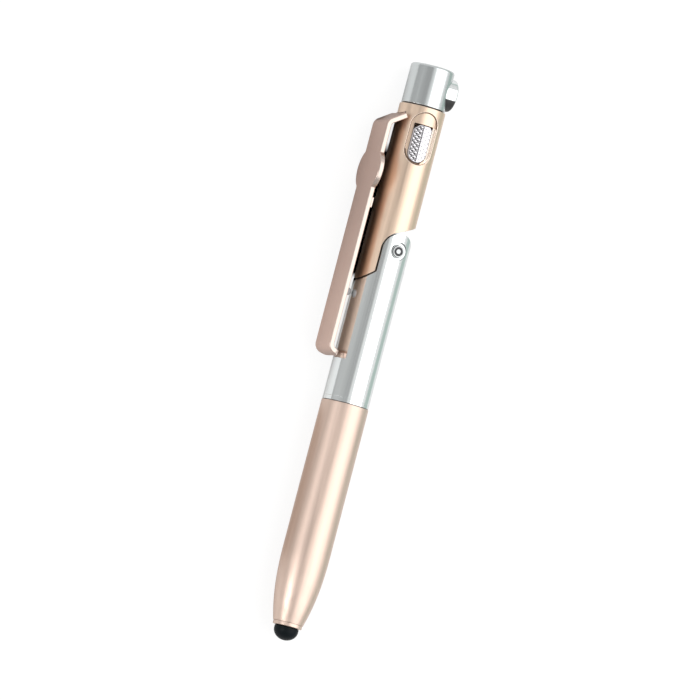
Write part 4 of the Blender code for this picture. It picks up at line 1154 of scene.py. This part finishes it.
class PEN_OT_head(bpy.types.Operator):
    """Silver head and the push button in its side"""
    bl_idname = "pen.make_head"
    bl_label = "Head and Button"

    def execute(self, context):
        sizes = context.scene.pen_sizes
        outer = sizes.head_radius
        spigot = sizes.tube_radius - sizes.tube_wall - GAP
        bore = spigot - SPIGOT_WALL
        low = HEAD_BOTTOM - SPIGOT_LENGTH
        ceiling = PEN_LENGTH - HEAD_TOP_WALL
        radius = sizes.button_radius
        reach = sizes.button_reach
        back = reach - BUTTON_LENGTH
        place = along_x(BUTTON_HEIGHT)
        runs = profile_runs([(0.0, PEN_LENGTH), (outer, PEN_LENGTH, HEAD_FILLET),
                             (outer, HEAD_BOTTOM, RIM_EDGE), (spigot, HEAD_BOTTOM), (spigot, low, RIM_EDGE),
                             (bore, low), (bore, ceiling), (0.0, ceiling)], steps=FINE_FILLET_STEPS)
        hole = rod(radius + RUN_GAP, back - BUTTON_TRAVEL - GAP, reach + OVERRUN, SMALL_STEPS, place)
        shell = make_piece("head_shell", combined(turned(runs), [(CUT, hole)], sizes.edge_break), runs)
        # Painted shade: the spigot inside the head's seam is blackened so the seam is dark
        repaint(shell, "blackened_steel", lambda spot, _: spot.z < HEAD_BOTTOM - TINY)

        inner = radius - BUTTON_WALL
        under = reach - BUTTON_WALL
        runs = profile_runs([(0.0, reach), (radius, reach, BUTTON_FILLET), (radius, back, RIM_EDGE),
                             (inner, back, RIM_EDGE), (inner, under), (0.0, under)], steps=FINE_FILLET_STEPS)
        button = make_piece("push_button", turned(runs), runs, place)
        # Painted shade: black on the button's lower side
        repaint(button, "black_moulding", lambda spot, facing: spot.z < BUTTON_HEIGHT - BUTTON_PAINTED_SHADE * radius
                and facing.z < -0.2 and spot.x < reach - 0.2 * BUTTON_FILLET)
        return {"FINISHED"}


class PEN_OT_clip(bpy.types.Operator):
    """Flat clip with its lobes, arm and turned-up end, its rib and its rubber pad"""
    bl_idname = "pen.make_clip"
    bl_label = "Clip"

    def execute(self, context):
        sizes = context.scene.pen_sizes
        half = sizes.clip_thickness / 2.0
        line = clip_stations(sizes)
        widths = []
        for number, (x, z) in enumerate(line):
            width = sizes.clip_half_width + lobe_width(sizes, z)
            gone = HOOK_CORNER - math.dist(line[0], (x, z))
            if gone > 0.0 and number < HOOK_STATIONS:
                width -= HOOK_CORNER - math.sqrt(max(HOOK_CORNER ** 2 - gone ** 2, 0.0))
            widths.append(width)
        clip = make_strip("clip_strip", line, widths, half, sizes.clip_edge)
        inner = -sizes.tube_radius - sizes.clip_clearance
        # Painted light and shade on the clip's inner side
        repaint(clip, "clip_inner_plate",
                lambda spot, facing: facing.x > FLAT_ON and abs(spot.x - inner) < sizes.clip_edge)
        # Painted highlight: lighter plate on the clip's edges
        repaint(clip, "clip_edge_plate", lambda _, facing: abs(facing.y) > EDGE_ON)

        root = Vector((-CLIP_ROOT_REACH, CLIP_ROOT))
        inward = Vector((math.cos(ARM_SLOPE), math.sin(ARM_SLOPE)))
        line = straight(root - inward * GAP, root + inward * (TANG_LENGTH - GAP), 4)
        make_strip("clip_tang", line, [TANG_HALF_WIDTH] * 5, half - TANG_SLACK, sizes.edge_break)

        size = (2.0 * RIB_HEIGHT, 2.0 * (sizes.clip_half_width - RIB_INSET), RIB_LENGTH)
        rib = combined(block(size, (inner, 0.0, PIN_HEIGHT + RIB_ABOVE_PIN)), [], sizes.edge_break)
        rib = make_piece("clip_rib", rib)
        # Painted highlight: lighter plate on the rib's edges
        repaint(rib, "clip_edge_plate", lambda _, facing: abs(facing.y) > EDGE_ON)

        foot = -sizes.barrel_radius - PAD_TOUCH_GAP - PAD_RADIUS
        seat = inner - PAD_SINK
        dome = curve_run(arc((0.0, foot), PAD_RADIUS, math.pi / 2.0, 0.0, 12))
        runs = [dome] + profile_runs([(PAD_RADIUS, foot), (PAD_RADIUS, seat), (0.0, seat)])
        make_piece("rubber_pad", turned(runs, COARSE_STEPS), runs, along_x(PIN_HEIGHT - PAD_BELOW_PIN))
        return {"FINISHED"}


class PEN_OT_barrel(bpy.types.Operator):
    """Lower barrel with its ears, the hinge's pin and the trim ring"""
    bl_idname = "pen.make_barrel"
    bl_label = "Barrel and Hinge"

    def execute(self, context):
        sizes = context.scene.pen_sizes
        outer = sizes.barrel_radius
        bore = outer - sizes.tube_wall
        wide = outer + OVERRUN
        top = PIN_HEIGHT + sizes.ear_radius + OVERRUN
        floor = PIN_HEIGHT - BLOCK_BELOW_PIN
        seat = SLOT_HALF + EAR_WALL
        place = along_window(PIN_OFFSET, PIN_HEIGHT)
        runs = profile_runs([(0.0, top), (outer, top), (outer, BARREL_BOTTOM, SEAM_EDGE),
                             (bore, BARREL_BOTTOM), (bore, floor), (0.0, floor)])
        slot_floor = PIN_HEIGHT - TONGUE_RADIUS - GAP - RUN_GAP
        slot_top = top + OVERRUN
        slot = block((2.0 * wide, 2.0 * SLOT_HALF, slot_top - slot_floor),
                     (0.0, 0.0, (slot_top + slot_floor) / 2.0))
        hole = mirrored([(0.0, wide), (COUNTERBORE_RADIUS, wide), (COUNTERBORE_RADIUS, seat),
                         (PIN_RADIUS + RUN_GAP, seat)])
        barrel = combined(turned(runs), [
            (KEEP, extruded(ear_outline(sizes), -wide, wide)), (CUT, slot),
            (CUT, turned(profile_runs(hole), SMALL_STEPS, place))], sizes.edge_break)
        shell = make_piece("barrel_shell", barrel, runs)

        def from_pin(spot):
            return math.hypot(spot.x - PIN_OFFSET, spot.z - PIN_HEIGHT)

        # Painted shade on the walls of the pin's counterbore
        repaint(shell, "shaded_steel", lambda spot, facing: abs(facing.y) < SEAT_WALL
                and from_pin(spot) < COUNTERBORE_RADIUS + TINY and abs(spot.y) > seat - TINY)

        inner = seat + RUN_GAP
        face = inner + PIN_HEAD_HEIGHT
        sunk = face - PIN_GROOVE
        runs = profile_runs(mirrored([
            (0.0, face), (0.55 * MM, face, 0.1 * MM), (0.72 * MM, sunk, 0.06 * MM),
            (0.92 * MM, sunk, 0.06 * MM), (PIN_GROOVE_RADIUS, face, 0.08 * MM),
            (PIN_HEAD_RADIUS, face, 0.25 * MM), (PIN_HEAD_RADIUS, inner, 0.05 * MM), (PIN_RADIUS, inner)]))
        rivet = make_piece("rivet", turned(runs, SMALL_STEPS), runs, place)
        # Painted shade in the groove of the pin's head
        repaint(rivet, "blackened_steel", lambda spot, _: from_pin(spot) < PIN_GROOVE_RADIUS
                and face - 1.2 * PIN_GROOVE < abs(spot.y) < face - SEAM_EDGE)

        ring = outer + RING_PROUD
        high = BARREL_BOTTOM - FINE_GAP / 4.0
        low = CAP_TOP + 1.5 * FINE_GAP
        runs = profile_runs([(ring, high, SEAM_EDGE), (ring, low, SEAM_EDGE), (bore, low), (bore, high)],
                            closed=True)
        make_piece("silver_ring", turned(runs), runs)
        return {"FINISHED"}


class PEN_OT_ball_pen(bpy.types.Operator):
    """Grip, friction ring and refill point that the cap covers"""
    bl_idname = "pen.make_ball_pen"
    bl_label = "Ball Pen"

    def execute(self, context):
        sizes = context.scene.pen_sizes
        neck = sizes.barrel_radius - sizes.tube_wall - GAP
        radius = sizes.grip_radius
        groove = CAP_TOP - O_RING_BELOW_MOUTH
        half = O_RING_WIRE + RUN_GAP
        low = radius - O_RING_WIRE - RUN_GAP
        bore = REFILL_RADIUS + GAP
        tip_bore = POINT_SHAFT + RUN_GAP
        top = BARREL_BOTTOM + GRIP_INSERT
        shaft_top = GRIP_FRONT + POINT_ROOM - GAP
        cone_top = GRIP_FRONT + CONE_HEIGHT
        runs = profile_runs([
            (neck, top, MOUTH_EDGE), (neck, CAP_TOP, MOUTH_EDGE), (radius, CAP_TOP),
            (radius, groove + half, 0.05 * MM), (low, groove + half), (low, groove - half),
            (radius, groove - half, 0.05 * MM), (radius, cone_top + GRIP_TAPER, GRIP_SWELL),
            (CONE_RADIUS, cone_top, CONE_FILLET), (TIP_RADIUS, GRIP_FRONT, MOUTH_EDGE),
            (tip_bore, GRIP_FRONT), (tip_bore, shaft_top), (bore, shaft_top), (bore, top)],
            closed=True, steps=FINER_FILLET_STEPS)
        make_piece("pen_grip", turned(runs), runs)

        centre = (low + RUN_GAP / 2.0 + O_RING_WIRE + O_RING_BITE / 2.0, groove)
        circle = curve_run(arc(centre, O_RING_WIRE, math.pi / 2.0, -1.5 * math.pi, 16))
        make_piece("friction_ring", turned([circle]))

        point = GRIP_FRONT - POINT_REACH
        runs = profile_runs([(0.0, shaft_top), (POINT_SHAFT, shaft_top),
                             (POINT_SHAFT, point + POINT_TAPER, 0.3 * MM), (POINT_RADIUS, point, 0.2 * MM),
                             (0.0, point)])
        make_piece("ball_point", turned(runs, SMALL_STEPS), runs)
        return {"FINISHED"}


class PEN_OT_cap(bpy.types.Operator):
    """Cap with its collar and the stylus's rubber dome"""
    bl_idname = "pen.make_cap"
    bl_label = "Cap and Stylus"

    def execute(self, context):
        sizes = context.scene.pen_sizes
        steps = 40
        mouth = sizes.cap_mouth_radius
        inner_mouth = (mouth - CAP_WALL, CAP_TOP - OVERRUN)
        outside = []
        for step in range(steps, -1, -1):
            left = 1.0 - step / steps
            radius = NOSE_RADIUS + (sizes.cap_radius - NOSE_RADIUS) * (1.0 - left ** NOSE_POWER)
            outside.append((radius, CAP_BOTTOM + NOSE_LENGTH * step / steps))
        inside = [(radius - CAP_WALL, height) for radius, height in reversed(outside)]
        runs = profile_runs([inner_mouth, (mouth - CAP_WALL, CAP_TOP, MOUTH_EDGE),
                             (mouth, CAP_TOP, MOUTH_EDGE), outside[0]])
        runs += [curve_run(outside)] + profile_runs([outside[-1], inside[0]])
        runs += [curve_run(inside)] + profile_runs([inside[-1], inner_mouth])
        make_piece("cap_shell", turned(runs), runs)

        stem = NOSE_RADIUS - CAP_WALL - GAP
        neck_bore = stem - COLLAR_WALL
        lip_top = CAP_BOTTOM - FINE_GAP / 2.0
        stem_top = lip_top + COLLAR_STEM
        radius = sizes.collar_radius
        runs = profile_runs([(stem, stem_top), (stem, lip_top), (radius, lip_top, 0.05 * MM),
                             (radius, COLLAR_BOTTOM, 0.14 * MM), (neck_bore, COLLAR_BOTTOM),
                             (neck_bore, stem_top)], closed=True)
        make_piece("stylus_lip", turned(runs), runs)

        neck = neck_bore - GAP
        skirt = DOME_HEIGHT - DOME_SKIRT
        neck_top = DOME_HEIGHT + NECK_LENGTH
        radius = sizes.dome_radius
        runs = profile_runs([(0.0, neck_top), (neck, neck_top, 0.1 * MM), (neck, DOME_HEIGHT, 0.1 * MM),
                             (radius, DOME_HEIGHT, 0.25 * MM), (radius, skirt)])
        angles = [math.pi / 2.0 * step / 24 for step in range(24)]
        dome = [(radius * math.cos(a), skirt - skirt * math.sin(a)) for a in angles] + [(0.0, 0.0)]
        runs.append(curve_run(dome))
        make_piece("rubber_dome", turned(runs), runs)
        return {"FINISHED"}


INNER_FINISHES = {
    "led": "diode_resin", "light_board": "green_board", "push_switch": "black_moulding",
    "cell_1": "bright_steel", "cell_2": "bright_steel", "cell_3": "bright_steel",
    "cell_sleeve": "black_moulding", "contact_spring": "bright_steel", "switch_plunger": "nylon_moulding",
    "refill_tube": "black_moulding", "cap_liner": "black_moulding",
}


class PEN_OT_inner(bpy.types.Operator):
    """Finishes of the inner pieces, which keep their solids"""
    bl_idname = "pen.finish_inner"
    bl_label = "Inner Pieces"

    def execute(self, context):
        for key, finish in INNER_FINISHES.items():
            item = frame["nodes"][key]
            item.data.materials.clear()
            item.data.materials.append(finish_named(finish))
        return {"FINISHED"}


class PEN_OT_stage(bpy.types.Operator):
    """Floor, room, lights and camera"""
    bl_idname = "pen.make_stage"
    bl_label = "Studio"

    def execute(self, context):
        scene = context.scene
        scene.world = self.room(scene.pen_studio)
        self.lay_floor(scene.pen_studio)
        self.hang_lights(scene.pen_studio)
        scene.camera = self.camera()
        scene.view_settings.view_transform = "Standard"
        return {"FINISHED"}

    def lay_floor(self, studio):
        """White floor with painted tones that the pen mirrors but the camera doesn't see, a painted reflection on
        the right and painted shade by the cap, and a painted black shadow in the crevice under the clip, which the
        camera sees too.
        """
        shape = bmesh.new()
        bmesh.ops.create_grid(shape, x_segments=8, y_segments=8, size=FLOOR_REACH)
        floor = linked("floor", as_mesh(shape))
        paper = bpy.data.materials.new("white_paper")
        paper.use_nodes = True
        tree = paper.node_tree
        tree.nodes.clear()
        rays = node(tree, "ShaderNodeLightPath")
        glossy, seen = rays["Is Glossy Ray"], rays["Is Camera Ray"]
        where = apart(tree, node(tree, "ShaderNodeTexCoord")["Object"])
        across = reckon(tree, "SUBTRACT", where["X"], PEN_SPACE.translation.x)

        def patch(ray, sides, ends):
            return times(tree, between(tree, across, sides), between(tree, where["Y"], ends), ray)

        # Painted reflection: a greenish strip on the right; painted shade by the cap; painted black shadow in the
        # crevice under the clip
        strip = times(tree, between(tree, across, PAINTED_REFLECTION_SIDES), glossy)
        painted_shade_by_cap = patch(glossy, CAP_PAINTED_SHADE_SIDES, CAP_PAINTED_SHADE_ENDS)
        painted_crevice_shadow = reckon(tree, "ADD", patch(glossy, CREVICE_PAINTED_SHADOW_SIDES, CREVICE_PAINTED_SHADOW_ENDS),
                         patch(seen, CREVICE_PAINTED_SHADOW_SEEN_SIDES, CREVICE_PAINTED_SHADOW_SEEN_ENDS))
        away = reckon(tree, "ABSOLUTE", across, 0.0)
        off_pen = spread(tree, away, 0.0, studio.backdrop_mirrored, *SHADE_REACH)
        share = reckon(tree, "ADD", times(tree, seen, studio.backdrop_seen),
                       reckon(tree, "MAXIMUM", times(tree, off_pen, glossy), strip, painted_shade_by_cap, painted_crevice_shadow),
                       times(tree, rays["Is Transmission Ray"], studio.backdrop_mirrored))
        shade = (1.0, 1.0, 1.0, 1.0)
        for patch_share, tone in ((strip, studio.side_tone), (painted_shade_by_cap, studio.cap_tone), (painted_crevice_shadow, BLACK)):
            shade = blended(tree, patch_share, shade, (*tone, 1.0))
        matt = node(tree, "ShaderNodeBsdfDiffuse", {"Color": (*studio.floor, 1.0)})[0]
        white = node(tree, "ShaderNodeEmission", {"Color": shade, "Strength": studio.backdrop})[0]
        both = node(tree, "ShaderNodeMixShader", {0: share, 1: matt, 2: white})[0]
        node(tree, "ShaderNodeOutputMaterial", {"Surface": both})
        floor.data.materials.append(paper)

    def room(self, studio):
        """Grey room that brightens beyond the head."""
        world = bpy.data.worlds.new("room")
        world.use_nodes = True
        tree = world.node_tree
        where = apart(tree, node(tree, "ShaderNodeTexCoord")["Generated"])
        rise = tree.nodes.new("ShaderNodeValToRGB")
        tree.links.new(where["Z"], rise.inputs["Fac"])
        ramp = rise.color_ramp
        ramp.interpolation = "EASE"
        ramp.elements[0].color = (*[studio.horizon] * 3, 1.0)
        ramp.elements[1].color = (*[studio.zenith] * 3, 1.0)
        ramp.elements.new(WALL_HEIGHT).color = (*[studio.wall] * 3, 1.0)
        strength = spread(tree, where["Y"], 1.0, 1.0 + studio.far_lift, *FAR_RAMP)
        feed(tree, tree.nodes["Background"], {"Color": rise.outputs["Color"], "Strength": strength})
        return world

    def hang_lights(self, studio):
        """Rectangular lights that face the pen, of a size (across, along the pen) and a brightness."""
        for name, toward, distance, size, radiance in (
                ("key_light", KEY_TOWARD, KEY_DISTANCE, KEY_SIZE, studio.key),
                ("key_glow", KEY_TOWARD, KEY_DISTANCE, GLOW_SIZE, studio.glow),
                ("fill_light", FILL_TOWARD, FILL_DISTANCE, FILL_SIZE, studio.fill)):
            light = bpy.data.lights.new(name, "AREA")
            light.shape = "RECTANGLE"
            light.size, light.size_y = size
            light.energy = radiance * math.pi * size[0] * size[1]
            toward = Vector(toward).normalized()
            across = Vector((0.0, 1.0, 0.0)).cross(toward).normalized()
            item = linked(name, light)
            item.location = toward * distance
            item.rotation_euler = Matrix((across, toward.cross(across), toward)).transposed().to_euler()
            item.visible_camera = False

    def camera(self):
        """Camera where the photograph was taken from, with the pen leaning in its view."""
        lens = bpy.data.cameras.new("camera")
        lens.sensor_width = SENSOR
        lens.lens = SENSOR * CAMERA_DISTANCE / FRAME_SPAN
        lens.clip_start = 0.1
        lens.clip_end = 50.0
        camera = linked("camera", lens)
        camera.matrix_world = (
            PEN_SPACE @ Matrix.Translation((0.0, 0.0, AIM_HEIGHT)) @ Matrix.Rotation(-VIEW_TURN, 4, "Z")
            @ Matrix.Translation((AIM_ASIDE, 0.0, 0.0)) @ Matrix.Rotation(math.pi / 2.0 + VIEW_DROP, 4, "X")
            @ Matrix.Rotation(VIEW_LEAN, 4, "Z") @ Matrix.Translation((0.0, 0.0, CAMERA_DISTANCE)))
        return camera


class PEN_PT_panel(bpy.types.Panel):
    """The pen's pieces, sizes and finishes"""
    bl_idname = "PEN_PT_panel"
    bl_label = "Folding Pen"
    bl_space_type = "VIEW_3D"
    bl_region_type = "UI"
    bl_category = "Pen"

    def draw(self, context):
        column = self.layout.column()
        for step in STEPS:
            column.operator(step.bl_idname)
        for group in (context.scene.pen_sizes, context.scene.pen_finishes, context.scene.pen_studio):
            box = self.layout.box()
            for key in group.__annotations__:
                box.prop(group, key)


STEPS = (PEN_OT_stage, PEN_OT_upper_tube, PEN_OT_window, PEN_OT_head, PEN_OT_clip, PEN_OT_barrel,
         PEN_OT_ball_pen, PEN_OT_cap, PEN_OT_inner)
CLASSES = (PenSizes, PenFinishes, PenStudio, *STEPS, PEN_PT_panel)


def register():
    for item in CLASSES:
        bpy.utils.register_class(item)
    bpy.types.Scene.pen_sizes = PointerProperty(type=PenSizes)
    bpy.types.Scene.pen_finishes = PointerProperty(type=PenFinishes)
    bpy.types.Scene.pen_studio = PointerProperty(type=PenStudio)


def unregister():
    del bpy.types.Scene.pen_studio
    del bpy.types.Scene.pen_finishes
    del bpy.types.Scene.pen_sizes
    for item in reversed(CLASSES):
        bpy.utils.unregister_class(item)


def main():
    """Register the add-on and make every piece in order."""
    register()
    for step in STEPS:
        group, name = step.bl_idname.split(".")
        getattr(getattr(bpy.ops, group), name)()


if __name__ == "__main__":
    main()
